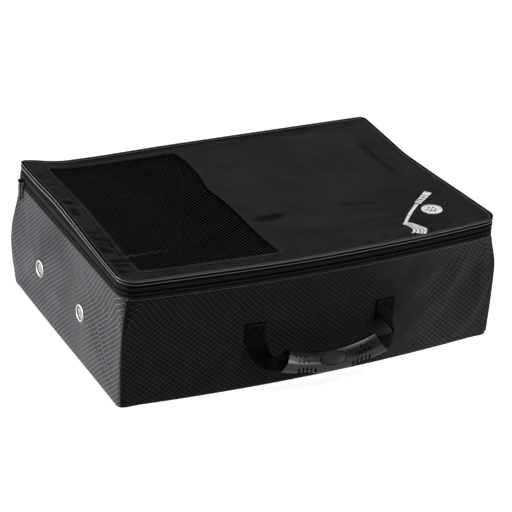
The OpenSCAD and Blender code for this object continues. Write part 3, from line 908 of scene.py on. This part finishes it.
def strands(lean, pitch, width, thickness, level):
    """One family of the net's strands."""
    low, high = window_rectangle(NET_MARGIN)
    direction = np.array([math.cos(lean), math.sin(lean)])
    across = np.array([-direction[1], direction[0]])
    reach = int(np.linalg.norm(high - low) / 2 / pitch)
    parts = []
    for k in range(-reach, reach + 1):
        origin = (low + high) / 2 + across * k * pitch
        start, end = clipped(origin, direction, low, high)
        if end - start <= 2 * MM:
            continue
        t = np.linspace(start, end, max(2, int((end - start) / (3.5 * MM)) + 1))
        points, normal = lid_at(origin + t[:, None] * direction, NET_DROP + level)
        side, up = side_and_up(points, np.cross(normal, np.gradient(points, axis=0)))
        parts.append(sweep(points, side, up, oval(width, thickness, 4)))
    return parts


net = make("mesh_window_net", strands(RIB_LEAN, RIB_PITCH, 1.4 * MM, 0.8 * MM, 0.1 * MM)
           + strands(CROSS_LEAN, CROSS_PITCH, 0.4 * MM, 0.4 * MM, -0.5 * MM),
           NET, "lid", "mesh", "mesh_window")


# ---------------------------------------------------------------- hems, piping and bindings
def window_loop(margin, corner=2 * MM, step=3 * MM):
    """A rectangle with small round corners round the window in the flat lid, as a polyline."""
    low, high = window_rectangle(margin)
    points = []
    for quarter, (sx, sy) in enumerate(((1, 1), (-1, 1), (-1, -1), (1, -1))):
        centre = np.array([high[0] - corner if sx > 0 else low[0] + corner,
                           high[1] - corner if sy > 0 else low[1] + corner])
        for turn in np.radians(np.linspace(90 * quarter, 90 * quarter + 90, 4)):
            points.append(centre + corner * np.array([math.cos(turn), math.sin(turn)]))
    return resample(closed(np.array(points)), step)[0]


# The turned edge of the lid round the window: a flat strip that dips at its inner edge
outer = window_loop(HEM)
inner = window_loop(0.6 * MM)
inner = resample(inner, along(inner)[-1] / (len(outer) - 1))[0][:len(outer)]
hem = []
for t, lift in ((0.0, 0.2), (0.06, 0.4), (0.3, 0.42), (0.5, 0.4), (0.8, 0.42), (0.96, 0.4),
                (1.0, 0.2)):
    points, _ = lid_at(outer * (1 - t) + inner * t, LID_T / 2 + (lift - 0.25) * MM)
    hem.append(points[:-1])
hem = np.array(hem)[::-1]
hem_uv = np.stack(np.meshgrid(np.linspace(0, 0.94, hem.shape[1]), np.linspace(0, HEM, len(hem))),
                  axis=-1)
make("window_hem", sheet(hem, 0.3 * MM, hem_uv, wrap=True), HEM_NYLON, "lid", "lid_nylon",
     "window_binding")


def round_bag(profile, z=0.0, columns=None, out=0.0, warp=True):
    """Sweeps a profile of (outward, up) pairs round the bag, or along some ring columns."""
    plan, normal = ring(out=out)
    centre = np.column_stack([plan, np.full(len(plan), z)])
    side = np.column_stack([normal, np.zeros(len(normal))])
    whole = columns is None
    if not whole:
        centre, side = centre[columns], side[columns]
    verts, faces, uvs = sweep(centre, side, np.tile(UP, (len(centre), 1)), profile, closed=whole)
    if warp:
        verts = rim_warp(verts, np.repeat(side, len(profile), axis=0))
    return verts, [face[::-1] for face in faces], uvs


def unbroken(wanted):
    """Ring columns where wanted is true, in order from the start of their one run."""
    columns = np.nonzero(wanted)[0]
    gaps = np.nonzero(np.diff(columns) > 1)[0]
    return np.roll(columns, -(gaps[0] + 1)) if len(gaps) else columns


# The zip runs from the rear end of the left side, round the front, to the rear of the right one
ring_plan, ring_normal = ring()
zip_columns = unbroken(ring_plan[:, 1] < TAPE_END_Y + 0.1 * MM)
rear_columns = unbroken(~np.isin(np.arange(RING_SIZE), zip_columns[1:-1]))

backing = np.array([(-4.4, 0.2), (-0.2, 0.2), (0.0, 0.8), (0.0, 3.9), (-0.4, 4.3), (-4.1, 3.4),
                    (-4.5, 3.0)]) * MM
make("lid_edge_backing", round_bag(backing, TAPE_TOP), CORD_CORE, "lid", "binding")
# The beads' grey tone is partly painted highlight
beads = [oval(1.1 * MM, 1.1 * MM, 10) + np.array([out, up]) * MM
         for out, up in ((-0.4, 0.6), (-0.2, 4.5), (-4.0, 4.0))]
make("lid_edge_piping", [round_bag(bead, TAPE_TOP) for bead in beads], PIPING, "lid", "binding",
     "lid_piping")


def upright(low, high, faces, thickness=0.6 * MM):
    """A thin upright strip's profile. faces gives how far out its foot, middle and top are."""
    t = np.linspace(0, 1, 7)
    face = np.interp(t, [0, 0.5, 1], np.array(faces) * MM)
    up = low + (high - low) * t
    return np.concatenate([np.stack([face, up], axis=1),
                           np.stack([face - thickness, up], axis=1)[::-1]])


make("lower_zip_tape_cloth",
     round_bag(upright(WALL_TOP - 1.5 * MM, LOW_COIL[0] + 0.2 * MM, (-0.9, -0.2, -0.6)),
               columns=zip_columns), ZIP_TAPE, "bag", "zip_tape", "lower_zip_tape")
make("upper_zip_tape_cloth",
     round_bag(upright(HIGH_COIL[1] - 0.2 * MM, TAPE_TOP + 0.4 * MM, (-0.6, 0.1, -1.0)),
               columns=zip_columns), ZIP_TAPE, "lid", "zip_tape", "upper_zip_tape")


def teeth(low, high):
    """One row of a coil's turns: small rounded loops, leaning along the zip."""
    columns = zip_columns[ring_plan[zip_columns, 1] < COIL_END_Y]
    at, out = resample(ring_plan[columns], 1.7 * MM, ring_normal[columns])
    out = unit(out)
    tangent = np.stack([-out[:, 1], out[:, 0]], axis=1)
    loop = oval(1.5 * MM, high - low, 8, 3.0)
    verts = []
    for offset, size in ((-0.55, 0.6), (-0.3, 1.0), (0.3, 1.0), (0.55, 0.6)):
        shape = loop * size
        shift = offset * MM + 0.35 * MM * (shape[:, 1] / (high - low))
        verts.append(np.concatenate([
            (at[:, None] + out[:, None] * (shape[None, :, 0, None] - 0.9 * MM)
             + tangent[:, None] * shift[None, :, None]),
            np.broadcast_to((low + high) / 2 + shape[None, :, 1, None], (len(at), 8, 1)),
        ], axis=2))
    verts = np.stack(verts, axis=1).reshape(-1, 3)
    return verts, repeated(capped_tube(4, 8), 4 * 8, len(at)), verts[:, :2]


for name, body, (low, high), rib_z in (
        ("lower", "bag", LOW_COIL, (LOW_COIL[0] - 1.0 * MM, WALL_TOP + 1.2 * MM)),
        ("upper", "lid", HIGH_COIL, (HIGH_COIL[1] + 1.0 * MM, HIGH_COIL[1] + 3.0 * MM))):
    make(name + "_zip_teeth", teeth(low, high), COIL, body, "zip_coil", name + "_zip_coil")
    make(name + "_tape_ribs",
         [round_bag(oval(0.9 * MM, 0.8 * MM, 8), z, zip_columns, -0.2 * MM) for z in rib_z],
         TAPE_RIB, body, "zip_tape")

# The rear: one strip of cloth from the wall's top to the lid, along the hinge line
hinge_z = np.linspace(WALL_TOP / MM - 2, TAPE_TOP / MM + 0.5, 9)
hinge_out = [-0.6, -0.3, -0.1, 0.0, 0.0, 0.0, -0.1, -0.3, -1.0]
hinge_in = [-1.6, -0.9, -0.7, -0.6, -0.6, -0.6, -0.7, -0.9, -1.2]
hinge = make("rear_hinge_cloth",
             round_bag(np.concatenate([np.stack([hinge_out, hinge_z], axis=1),
                                       np.stack([hinge_in, hinge_z[::-1]], axis=1)]) * MM,
                       columns=rear_columns),
             LID_NYLON, None, "lid_nylon", "rear_hinge_strip", "lid_rear_band")
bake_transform(hinge)

# Welts on the corner seams
welts = []
for side in SIDES:
    column = side_columns(side)[-1]
    points = walls[1:-1, column] + wall_normal[1:-1, column] * 0.25 * MM
    hint = np.tile(wall_normal[WALL_ROWS // 2, column], (len(points), 1))
    welts.append(sweep(points, *side_and_up(points, hint), oval(2.2 * MM, 2.2 * MM, 8)))
make("corner_seam_welts", welts, BINDING, "bag", "binding", "corner_welts")

# Stitching: along the walls' top, and round the window's hem
seam = walls[-2] * 0.35 + walls[-1] * 0.65 + wall_normal[-2] * 0.05 * MM
make("wall_stitching", stitches(closed(seam), closed(wall_normal[-2])), SEAM_THREAD, "bag",
     "binding")
make("lid_stitching", stitches(*lid_at(window_loop(HEM * 0.75), LID_T / 2 + 0.3 * MM)), SEAM_THREAD,
     "lid", "lid_nylon")


# ---------------------------------------------------------------- base, lining and divider
def floor_sheet(inset, z, thickness, row=0):
    """A flat sheet inside one of the walls' rows, with a place on the cloth for each point."""
    edge = walls[row] - wall_normal[row] * inset
    edge = np.column_stack([edge[:, :2], np.full(len(edge), z)])
    grid = spread(edge, np.linspace(0, 1, 60), np.linspace(0, 1, 42))
    return sheet(grid, thickness, grid[..., :2])


base = make("base_panel_cloth", floor_sheet(0.8 * MM, BASE_T * 0.5, BASE_T), RIPSTOP, "bag",
            "ripstop", "base_panel")

first = int(np.searchsorted(WALL_HEIGHTS, FLOOR_TOP + 1 * MM))
tub = walls[first:-1] - wall_normal[first:-1] * (LINING_DEPTH + LINING_T / 2)
ring_place = along(closed(middle_row))
tub_uv = np.stack(np.meshgrid(ring_place[:-1], np.linspace(0, WALL_TOP, len(tub))), axis=-1)
lining = make("lining_tub", [
    sheet(tub, LINING_T, tub_uv, wrap=True),
    floor_sheet(LINING_DEPTH - 0.3 * MM, FLOOR_TOP + 0.8 * MM, LINING_T, first),
], LINING, "bag", "lining", "lining")

# Binding over the walls' raw top edge, inside
top_edge = upright(WALL_TOP - 8 * MM, WALL_TOP - 0.5 * MM, (-5.4, -5.3, -5.2))
make("wall_edge_binding", round_bag(top_edge, warp=False), BINDING, "bag", "binding",
     "wall_top_binding")


def pillow(low, high, crown):
    """A padded slab: a box of rounded edges whose two faces swell between its seams."""
    low, high = np.array(low), np.array(high)
    half, middle = (high - low) / 2, (high + low) / 2
    bm = bmesh.new()
    bmesh.ops.create_cube(bm, size=2.0)
    bmesh.ops.subdivide_edges(bm, edges=bm.edges[:], cuts=15, use_grid_fill=True)
    for v in bm.verts:
        p, y, z = v.co
        thick = 0.55 + 0.45 * ((1 - y ** 8) * (1 - z ** 8)) ** 0.4
        swell = crown * (1 - y ** 2) * (1 - z ** 2)
        x = math.copysign(abs(p) * (half[0] * thick + swell), p)
        v.co = (middle[0] + x, middle[1] + y * half[1], middle[2] + z * half[2])
    bm.verts.index_update()
    verts = np.array([v.co for v in bm.verts])
    faces = [[v.index for v in face.verts] for face in bm.faces]
    bm.free()
    return verts, faces, verts[:, 1:]


divider = make("divider_pad", pillow(*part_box("divider_cover"), 1.2 * MM), LINING, "bag", "lining",
               "divider_cover", "divider_foam")


# ---------------------------------------------------------------- things fixed to the walls
def wall_at(side, place, z, depth=0.0):
    """Points and normals on one wall's outer face, moved inwards by depth."""
    columns = side_columns(side)
    if middle_row[columns[-1], AXIS[side]] < middle_row[columns[0], AXIS[side]]:
        columns = columns[::-1]
    grid, normal = walls[:, columns], wall_normal[:, columns]
    column = np.interp(place, middle_row[columns, AXIS[side]], np.arange(len(columns)))
    row = np.interp(z, grid[:, len(columns) // 2, 2], np.arange(WALL_ROWS))
    point, normal = between(row, column, grid, normal)
    normal = unit(normal)
    return point - normal * depth, normal


def wall_patches(name, side, places, low_z, high_z, width, depth, thickness, finish, node,
                 crown=0.0):
    """Flat pieces that lie on a wall and follow it: one at each place, as one object."""
    parts = []
    for place in places:
        across = np.linspace(place - width / 2, place + width / 2, 14)
        if side == "rear":
            across = across[::-1]
        flat = np.stack(np.meshgrid(across, np.linspace(low_z, high_z, 14)), axis=-1)
        points, normal = wall_at(side, flat[..., 0], flat[..., 1], depth)
        edge = np.minimum(np.arange(14), np.arange(14)[::-1])
        near = np.minimum(edge[None], edge[:, None])
        points = points + normal * (crown * np.clip(near / 2, 0, 1))[..., None]
        parts.append(sheet(points, thickness, flat, normals=normal))
    slot = "webbing" if finish is WEBBING else "binding"
    obj = make(name, parts, finish, "bag", slot, node)


strip_lo, strip_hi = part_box("divider_strips")
back_lo, back_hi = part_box("handle_backing")
for side in ("front", "rear"):
    wall_patches(side + "_divider_strip", side, [(strip_lo.x + strip_hi.x) / 2], strip_lo.z,
                 strip_hi.z, strip_hi.x - strip_lo.x, INNER_FACE + 0.6 * MM, 0.9 * MM, BINDING,
                 "divider_strips")
wall_patches("handle_backing_patches", "front", ANCHORS, back_lo.z, back_hi.z,
             back_hi.z - back_lo.z, INNER_FACE + 0.6 * MM, 0.8 * MM, BINDING, "handle_backing")
wall_patches("handle_anchor_patches", "front", ANCHORS, ANCHOR_LO.z, ANCHOR_HI.z, ANCHOR_W,
             -1.0 * MM, 1.6 * MM, WEBBING, "handle_anchors", 0.4 * MM)

# Box stitching on the sewn ends: a square, its diagonals and a second row at the top
runs = []
margin = 2.6 * MM
for middle in ANCHORS:
    low = np.array([middle - ANCHOR_W / 2 + margin, ANCHOR_LO.z + margin])
    high = np.array([middle + ANCHOR_W / 2 - margin, ANCHOR_HI.z - margin])
    corners = [low, (high[0], low[1]), high, (low[0], high[1])]
    lines = [(corners[k], corners[(k + 1) % 4]) for k in range(4)]
    lines += [(corners[0], corners[2]), (corners[1], corners[3])]
    lines.append(((low[0], high[1] + 1.3 * MM), (high[0], high[1] + 1.3 * MM)))
    for start, end in lines:
        flat = np.linspace(start, end, 8)
        on_patch = wall_at("front", flat[:, 0], flat[:, 1], -2.35 * MM)
        runs.append(stitches(*on_patch, 2.6 * MM, 1.9 * MM, 0.36 * MM))
make("anchor_stitching", runs, THREAD, "bag", "webbing")


# ---------------------------------------------------------------- vents
def lathe(profile, centre, axis, across, upward, count=40):
    """Turns a closed (radius, height) profile about an axis through centre."""
    profile = np.asarray(profile, float)
    angle = turns(count)[:, None]
    ray = np.cos(angle) * across + np.sin(angle) * upward
    points = centre + ray[:, None] * profile[None, :, 0, None] + axis * profile[None, :, 1, None]
    rows, columns = points.shape[:2]
    verts = points.reshape(-1, 3)
    faces = grid_quads(rows + 1, columns, wrap=True) % (rows * columns)
    return verts, faces.tolist(), verts[:, 1:]


def circle(count, radius, shift=0.0):
    return [(radius * math.cos(a), radius * math.sin(a)) for a in turns(count, shift)]


def perforated(radius, holes, hole_r, thickness):
    """A flat round plate with round holes, as points and faces."""
    bm = bmesh.new()
    edges = []
    for x, y, r, count in [(0.0, 0.0, radius, 36)] + [(*hole, hole_r, 10) for hole in holes]:
        around = [bm.verts.new((x + dx, y + dy, 0)) for dx, dy in circle(count, r)]
        edges += [bm.edges.new(pair) for pair in zip(around, around[1:] + around[:1])]
    bmesh.ops.triangle_fill(bm, use_beauty=True, edges=edges)
    bmesh.ops.recalc_face_normals(bm, faces=bm.faces[:])
    if sum(f.normal.z for f in bm.faces) < 0:
        bmesh.ops.reverse_faces(bm, faces=bm.faces[:])
    extruded = bmesh.ops.extrude_face_region(bm, geom=bm.faces[:])["geom"]
    moved = [g for g in extruded if isinstance(g, bmesh.types.BMVert)]
    bmesh.ops.translate(bm, vec=(0, 0, thickness), verts=moved)
    bmesh.ops.recalc_face_normals(bm, faces=bm.faces[:])
    bm.verts.index_update()
    verts = np.array([v.co for v in bm.verts])
    faces = [[v.index for v in f.verts] for f in bm.faces]
    bm.free()
    return verts, faces


EYELET_R = VENT_D / 2 - 1.6 * MM
FLANGE = [(0, -0.6), (0, 0.6), (-0.5, 1.25), (-1.9, 1.6), (-3.2, 1.35), (-3.8, 0.7), (-4.0, -0.4),
          (-4.0, -5.0), (-3.4, -5.0), (-3.4, -0.6)]
WASHER = [(0, 0), (0, 0.7), (-0.6, 1.0), (-3.3, 0.8), (-3.3, 0)]
flange, washer = [[(EYELET_R + out * MM, up * MM) for out, up in shape]
                  for shape in (FLANGE, WASHER)]
holes = [(0.0, 0.0), *circle(6, 2.7 * MM, 0.5), *circle(11, 5.3 * MM, 0.5)]
disc_verts, disc_faces = perforated(EYELET_R - 4.2 * MM, holes, 1.0 * MM, 0.7 * MM)
eyelets, washers = [], []
for y in VENTS:
    centre, axis = [rows[0] for rows in wall_at("left", np.array([y]), np.array([VENT_Z]))]
    across = unit(np.cross(axis, UP))
    upward = np.cross(axis, across)
    eyelets.append(lathe(flange, centre, axis, across, upward))
    placed = (centre + disc_verts[:, :1] * across + disc_verts[:, 1:2] * upward
              + (disc_verts[:, 2:] - 0.9 * MM) * axis)
    eyelets.append((placed, disc_faces, disc_verts[:, :2]))
    washers.append(lathe(washer, centre - axis * (INNER_FACE + 0.4 * MM), -axis, -across, upward))
make("vent_eyelets", eyelets, EYELET, "bag", "eyelet_metal", "vent_caps")
make("vent_washer_rings", washers, EYELET, "bag", "eyelet_metal", "vent_washers")


# ---------------------------------------------------------------- the handle
GRIP_LO, GRIP_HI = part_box("handle_grip")
GRIP_Y = (GRIP_LO.y + GRIP_HI.y) / 2
GRIP_HALF = 65 * MM
GRIP_END_Z = 51 * MM
GRIP_SAG = 13 * MM
# The grip's section, as (forwards, up): a rounded back, a slanting upper face, a ridge and a
# front that leans in towards a thin lower lip
SECTION = np.array([(-8.6, 3), (-6.6, 9.5), (-1.5, 12.6), (2.2, 9.8), (5.2, 6.0), (8.2, 1.6),
                    (9.2, -2.6), (9.0, -8.0), (8.2, -11.0), (5.6, -11.6), (-1.0, -10.4),
                    (-7.0, -6.0)]) * MM


def grip_line(x):
    """Where the grip's middle line is at x, and how steep it is there."""
    return GRIP_END_Z - GRIP_SAG * (1 - (x / GRIP_HALF) ** 2), 2 * GRIP_SAG * x / GRIP_HALF ** 2


def grip_shell(scale, count=72):
    """Rings of the grip's section along its bend, with slanting ends and a scalloped lip."""
    loop = spline(closed(SECTION), 41)[:-1] * scale
    forward, up_part = loop[:, 0], loop[:, 1]
    x = np.linspace(-1, 1, count)[:, None] * (GRIP_HALF - 4 * MM)
    x = x + (x / GRIP_HALF) ** 9 * (4.5 * MM - up_part[None] * 0.42)
    z, slope = grip_line(np.clip(x, -GRIP_HALF * 1.1, GRIP_HALF * 1.1))
    flare = 1 + 0.07 * smooth(np.abs(x), GRIP_HALF * 0.72, GRIP_HALF)
    lip = smooth(-up_part, 5 * MM, 10 * MM)[None] * (
        np.exp(-((np.abs(x) - 35 * MM) / (11 * MM)) ** 4)) * 2.2 * MM
    tilt = np.arctan(slope)
    raise_up = up_part[None] * flare + lip
    return np.stack([x - np.sin(tilt) * raise_up,
                     np.broadcast_to(GRIP_Y - forward[None] * flare, x.shape),
                     z + np.cos(tilt) * raise_up], axis=-1)


def block(centre, across, upward, size):
    """A small block with rounded sides, which cuts a slot or a dot."""
    outward = np.cross(across, upward) * size[2] / 2
    return sweep(np.array([centre - outward, centre + outward]), np.tile(across, (2, 1)),
                 np.tile(upward, (2, 1)), oval(size[0], size[1], 12, 2.6))


outer, inner = grip_shell(1.0), grip_shell(0.80)
rows, columns = outer.shape[:2]
count = rows * columns
long_faces = grid_quads(rows, columns, wrap=True)
end_faces = []
for first in (0, (rows - 1) * columns):
    for k in range(columns):
        a, b = first + k, first + (k + 1) % columns
        quad = [a + count, b + count, b, a]
        end_faces.append(quad[::-1] if first else quad)
grip = make("handle_grip_shell",
            (np.concatenate([outer, inner]).reshape(-1, 3),
             long_faces[:, ::-1].tolist() + (long_faces + count).tolist() + end_faces, None),
            GRIP, "", "grip_plastic")

cuts = []
for side in (-1, 1):
    for k, tall in enumerate((6.6, 9.6, 11.2, 9.6, 6.6)):
        x = side * (24 + 5.3 * k) * MM
        z, slope = grip_line(x)
        cuts.append(block(np.array([x + slope * 8 * MM, GRIP_Y - 8.5 * MM, z - 7.2 * MM]),
                          unit(np.array([1, 0, slope])),
                          unit(np.array([-slope + side * 0.25, 0, 1])),
                          (3.3 * MM, tall * MM, 9 * MM)))
    for row, (forward, up_part) in enumerate(((3.6, 8.4), (7.2, 3.4))):
        for k in range(3):
            x = side * (37 + 6.5 * k - 3 * row) * MM
            across = np.array([1.0, 0, 0])
            cuts.append(block(np.array([x, GRIP_Y - forward * MM,
                                        grip_line(x)[0] + up_part * MM]), across,
                              np.cross(unit(np.array([0, -0.8, 0.6])), across),
                              (2.4 * MM, 2.4 * MM, 6 * MM)))
cutter = make("cutter", cuts, GRIP, "", "grip_plastic")
cutter.data.shade_flat()
face_outwards(cutter.data, grip.data)
carve = grip.modifiers.new("carve", "BOOLEAN")
carve.object = cutter
carve.operation = "DIFFERENCE"
carve.solver = "EXACT"
carved = bpy.data.meshes.new_from_object(grip.evaluated_get(bpy.context.evaluated_depsgraph_get()))
grip.modifiers.clear()
grip.data = carved
bpy.data.objects.remove(cutter)
carved.materials.clear()
carved.materials.append(GRIP)
carved.shade_smooth()
carved.set_sharp_from_angle(angle=math.radians(42))
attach(grip, "handle")
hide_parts("handle_grip")

# The oval badge: a blank, domed plate in a raised rim, square to the grip's ridge
BADGE_LEAN = math.radians(34)
badge_out = np.array([0, -math.cos(BADGE_LEAN), math.sin(BADGE_LEAN)])
badge_up = np.array([0, math.sin(BADGE_LEAN), math.cos(BADGE_LEAN)])
badge_at = np.array([0, GRIP_Y - 6.9 * MM, grip_line(0)[0] + 5.2 * MM])
BADGE_HALF_W = 16.5 * MM
BADGE_HALF_H = 8.2 * MM
PLATE = [(0.001, 1.75), (0.35, 1.7), (0.7, 1.5), (0.9, 1.25), (0.93, -4.0), (0.001, -4.0)]
RIM = [(0.94, -4.0), (0.94, 1.2), (0.97, 1.8), (1.02, 1.85), (1.07, 1.3), (1.09, -4.0)]
for name, shape, finish, slot, nodes in (
        ("plate", PLATE, BADGE, "badge_plastic", ["grip_badge"]),
        ("rim", RIM, GRIP, "grip_plastic", [])):
    loop = turns(48)[:, None]
    points = np.concatenate([
        badge_at + np.cos(loop) * size * BADGE_HALF_W * np.array([1, 0, 0])
        + np.sin(loop) * size * BADGE_HALF_H * badge_up + level * MM * badge_out
        for size, level in shape])
    faces = capped_tube(len(shape), 48)
    if name == "rim":
        faces = grid_quads(len(shape) + 1, 48, wrap=True) % len(points)
    obj = make("grip_badge_" + name, (points, faces, points[:, :2]), finish, "handle", slot, *nodes)
    face_outwards(obj.data)
    obj.data.set_sharp_from_angle(angle=math.radians(35))

# One webbing: from under a sewn end, out and round with a quarter turn, through the grip.
# Each row gives x, how far in front of the panel, z; the width's direction; the width
front_at = wall_at("front", np.array([ANCHOR_X]), np.array([ANCHOR_LO.z]))[0][0][1] / MM
STRAP = {
    -1: [
        (-87, 0.2, 80, 1, 0, 0, 24), (-87, 0.6, 68, 1, 0, 0, 24),
        (-86, 3.6, 61, 1, -0.1, 0.05, 24), (-85, 9.5, 54, 0.95, -0.45, 0.2, 23.5),
        (-83, 17, 48.5, 0.75, -0.6, 0.5, 22.5), (-79, 25, 46, 0.4, -0.4, 0.9, 21.5),
        (-73, 31, 46.5, -0.05, 0.0, 1, 20), (-64, 33.5, 48.5, -0.25, 0.15, 1, 18.5),
    ],
    1: [
        (87, 0.2, 82, 1, 0, 0, 24), (87, 1.0, 74, 1, 0, -0.15, 24),
        (87, 4.6, 68, 0.9, 0.1, -0.5, 24), (88, 11, 62, 0.8, 0.2, -0.65, 23.5),
        (89, 19, 55, 0.6, 0.3, -0.8, 22.5), (86, 27, 50, 0.25, 0.3, -0.95, 21.5),
        (78, 32, 48, 0.1, 0.1, -1, 20), (64, 33.5, 48.5, -0.25, -0.15, -1, 18.5),
    ],
}
inside_x = np.linspace(-58 * MM, 58 * MM, 24)
through = np.stack([inside_x, np.full(24, GRIP_Y), grip_line(inside_x)[0]], axis=1)
runs = []
for side, stations in STRAP.items():
    stations = np.array(stations, float)
    place = np.column_stack([stations[:, 0], front_at - stations[:, 1], stations[:, 2]]) * MM
    line = np.concatenate([spline(place, 70), through[::-side][:12]])
    direction = np.concatenate([spline(stations[:, 3:6], 70),
                                np.tile([0.0, -0.2 * side, -1.0 * side], (12, 1))])
    wide = np.concatenate([spline(stations[:, 6:] * MM, 70)[:, 0], np.full(12, 18 * MM)])
    across, up_part = side_and_up(line, unit(direction))
    shape = oval(2.0, 1.9 * MM, 14, 5.0)
    place_across = shape[None, :, 0] * wide[:, None] / 2
    points = (line[:, None] + across[:, None] * place_across[..., None]
              + up_part[:, None] * shape[None, :, 1, None])
    place_along = np.repeat(along(line)[:, None], len(shape), axis=1)
    uv = np.stack([place_across, place_along], axis=-1).reshape(-1, 2)
    runs.append((points.reshape(-1, 3), capped_tube(*points.shape[:2]), uv))
strap = make("handle_strap", runs, STRAP_WEB, None, "webbing", "handle_webbing")
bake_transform(strap)


# ---------------------------------------------------------------- the print on the lid
# A plain white pictogram of an iron club and a ball, in place of any lettering. Its own places
# are (right, up) in millimetres
PRINT_AT = np.array([170.0, -106.0]) * MM
PRINT_RIGHT = unit(np.array([0.75, 0.66]))
PRINT_UP = np.array([-PRINT_RIGHT[1], PRINT_RIGHT[0]])
PRINT_LIFT = LID_T / 2 + 0.12 * MM
INK_T = 0.16


def print_place(places):
    return PRINT_AT + (places[..., :1] * PRINT_RIGHT + places[..., 1:] * PRINT_UP) * MM


def printed(lower, upper):
    """A patch of ink on the lid, between two polylines with as many points each."""
    t = np.linspace(0, 1, 4)[:, None, None]
    grid = lower[None] * (1 - t) + upper[None] * t
    points, normal = lid_at(print_place(grid), PRINT_LIFT)
    return sheet(points, INK_T * MM, grid * MM, normals=normal)


def shaft(start, end, low_half, high_half):
    """A length of the club's bent shaft or grip, which widens along it."""
    x = np.linspace(start, end, max(4, int((end - start) / 2)))
    bow = 5.0 - (x / 26.0) ** 2
    half = np.interp(x, [start, end], [low_half, high_half])
    return printed(np.stack([x, bow - half], axis=1), np.stack([x, bow + half], axis=1))


parts = [shaft(-40, 20, 1.9, 2.3), shaft(22, 27, 4.0, 4.1), shaft(28.5, 33.5, 4.2, 4.3),
         shaft(35, 40, 4.4, 4.5), shaft(41.5, 46.5, 4.6, 4.7), shaft(48, 57, 4.8, 5.0)]
heel = np.array([(-43, 5), (-44, -2), (-49, -8), (-57, -12), (-66, -13)])
toe = np.array([(-37, 5), (-35, -6), (-39, -18), (-48, -28), (-62, -32)])
for k in range(4):
    far, near = [spline(heel + (toe - heel) * (share + 0.26 * k), 14) for share in (0.20, 0.0)]
    parts.append(printed(far, near))
ball_verts, ball_faces = perforated(13.5, [(0.0, 0.0), *circle(6, 5.2)], 1.6, INK_T)
points, normal = lid_at(print_place(ball_verts[:, :2] + (12, -17)), PRINT_LIFT + 0.1 * MM)
parts.append((points + normal * (ball_verts[:, 2:] * MM), ball_faces, ball_verts[:, :2] * MM))
make("lid_print", parts, INK, "lid", "lid_nylon")

# A flat tape over the lid's seam, inside
seam_tape = np.array([(-8.4, -3.4), (-4.2, -3.2), (-4.2, -2.6), (-8.4, -2.8)]) * MM
make("lid_seam_tape", round_bag(seam_tape, BAG_TOP), BINDING, "lid", "binding",
     "lid_seam_binding")

# ---------------------------------------------------------------- CAD nodes that stay
for node in ("base_board", "lower_zip_stops", "upper_zip_stops", "zip_slider", "zip_puller"):
    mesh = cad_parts[node].data
    mesh.materials.clear()
    mesh.materials.append(BOARD if node == "base_board" else ZIP_METAL)


# ---------------------------------------------------------------- camera, light and floor
AZIMUTH, ELEVATION, ROLL = (math.radians(a) for a in (-28.28, 26.76, 3.82))
CAMERA_AT = Vector((-0.9896, -1.8497, 1.1302))
LENS = 131.1
LIGHTS_FACE = Vector((0, 0, 0.08))


def place_object(name, data):
    obj = bpy.data.objects.new(name, data)
    bpy.context.scene.collection.objects.link(obj)
    return obj


def softbox(name, direction, distance, width, height, power):
    """A rectangular area light that faces the bag from that direction."""
    light = bpy.data.lights.new(name, "AREA")
    light.shape = "RECTANGLE"
    light.size = width
    light.size_y = height
    light.energy = power
    obj = place_object(name, light)
    away = Vector(direction).normalized()
    obj.location = LIGHTS_FACE + away * distance
    obj.rotation_mode = "QUATERNION"
    obj.rotation_quaternion = away.to_track_quat("Z", "Y")


back = Vector((math.sin(AZIMUTH) * math.cos(ELEVATION), -math.cos(AZIMUTH) * math.cos(ELEVATION),
               math.sin(ELEVATION)))
level = Vector(UP).cross(back).normalized()
upright_way = back.cross(level)
right = level * math.cos(ROLL) + upright_way * math.sin(ROLL)
up = upright_way * math.cos(ROLL) - level * math.sin(ROLL)
camera = place_object("camera", bpy.data.cameras.new("camera"))
camera.data.lens = LENS
camera.data.clip_end = 50
turn = Matrix((right, up, back)).transposed().to_4x4()
camera.matrix_world = Matrix.Translation(CAMERA_AT) @ turn
bpy.context.scene.camera = camera

softbox("key_left", (-1.0, 0.40, 0.03), 2.4, 1.1, 0.28, 150)
softbox("top_rear", (0.45, 0.85, 0.62), 2.6, 1.0, 1.0, 5.5)
softbox("front_right", (1.0, -1.15, 0.25), 1.7, 0.6, 0.6, 13)
softbox("overhead", (0.10, -0.5, 0.78), 1.6, 0.6, 0.6, 13.5)

world = bpy.data.worlds.new("studio")
world.use_nodes = True
world.node_tree.nodes["Background"].inputs["Color"].default_value = (0.9, 0.92, 0.95, 1)
world.node_tree.nodes["Background"].inputs["Strength"].default_value = 0.12
bpy.context.scene.world = world
bpy.context.scene.view_settings.view_transform = "Standard"

plate = bpy.data.meshes.new("studio_floor")
plate.from_pydata([(-12, -12, 0), (12, -12, 0), (12, 12, 0), (-12, 12, 0)], [], [(0, 1, 2, 3)])
floor = place_object("studio_floor", plate)
floor.location.z = -0.2 * MM
paper = Finish("studio_paper", (0.55, 0.55, 0.55), 0.9, 0.0)
paper.set("Emission Color", (1, 1, 1))
paper.set("Emission Strength", 0.85)
plate.materials.append(paper.material)
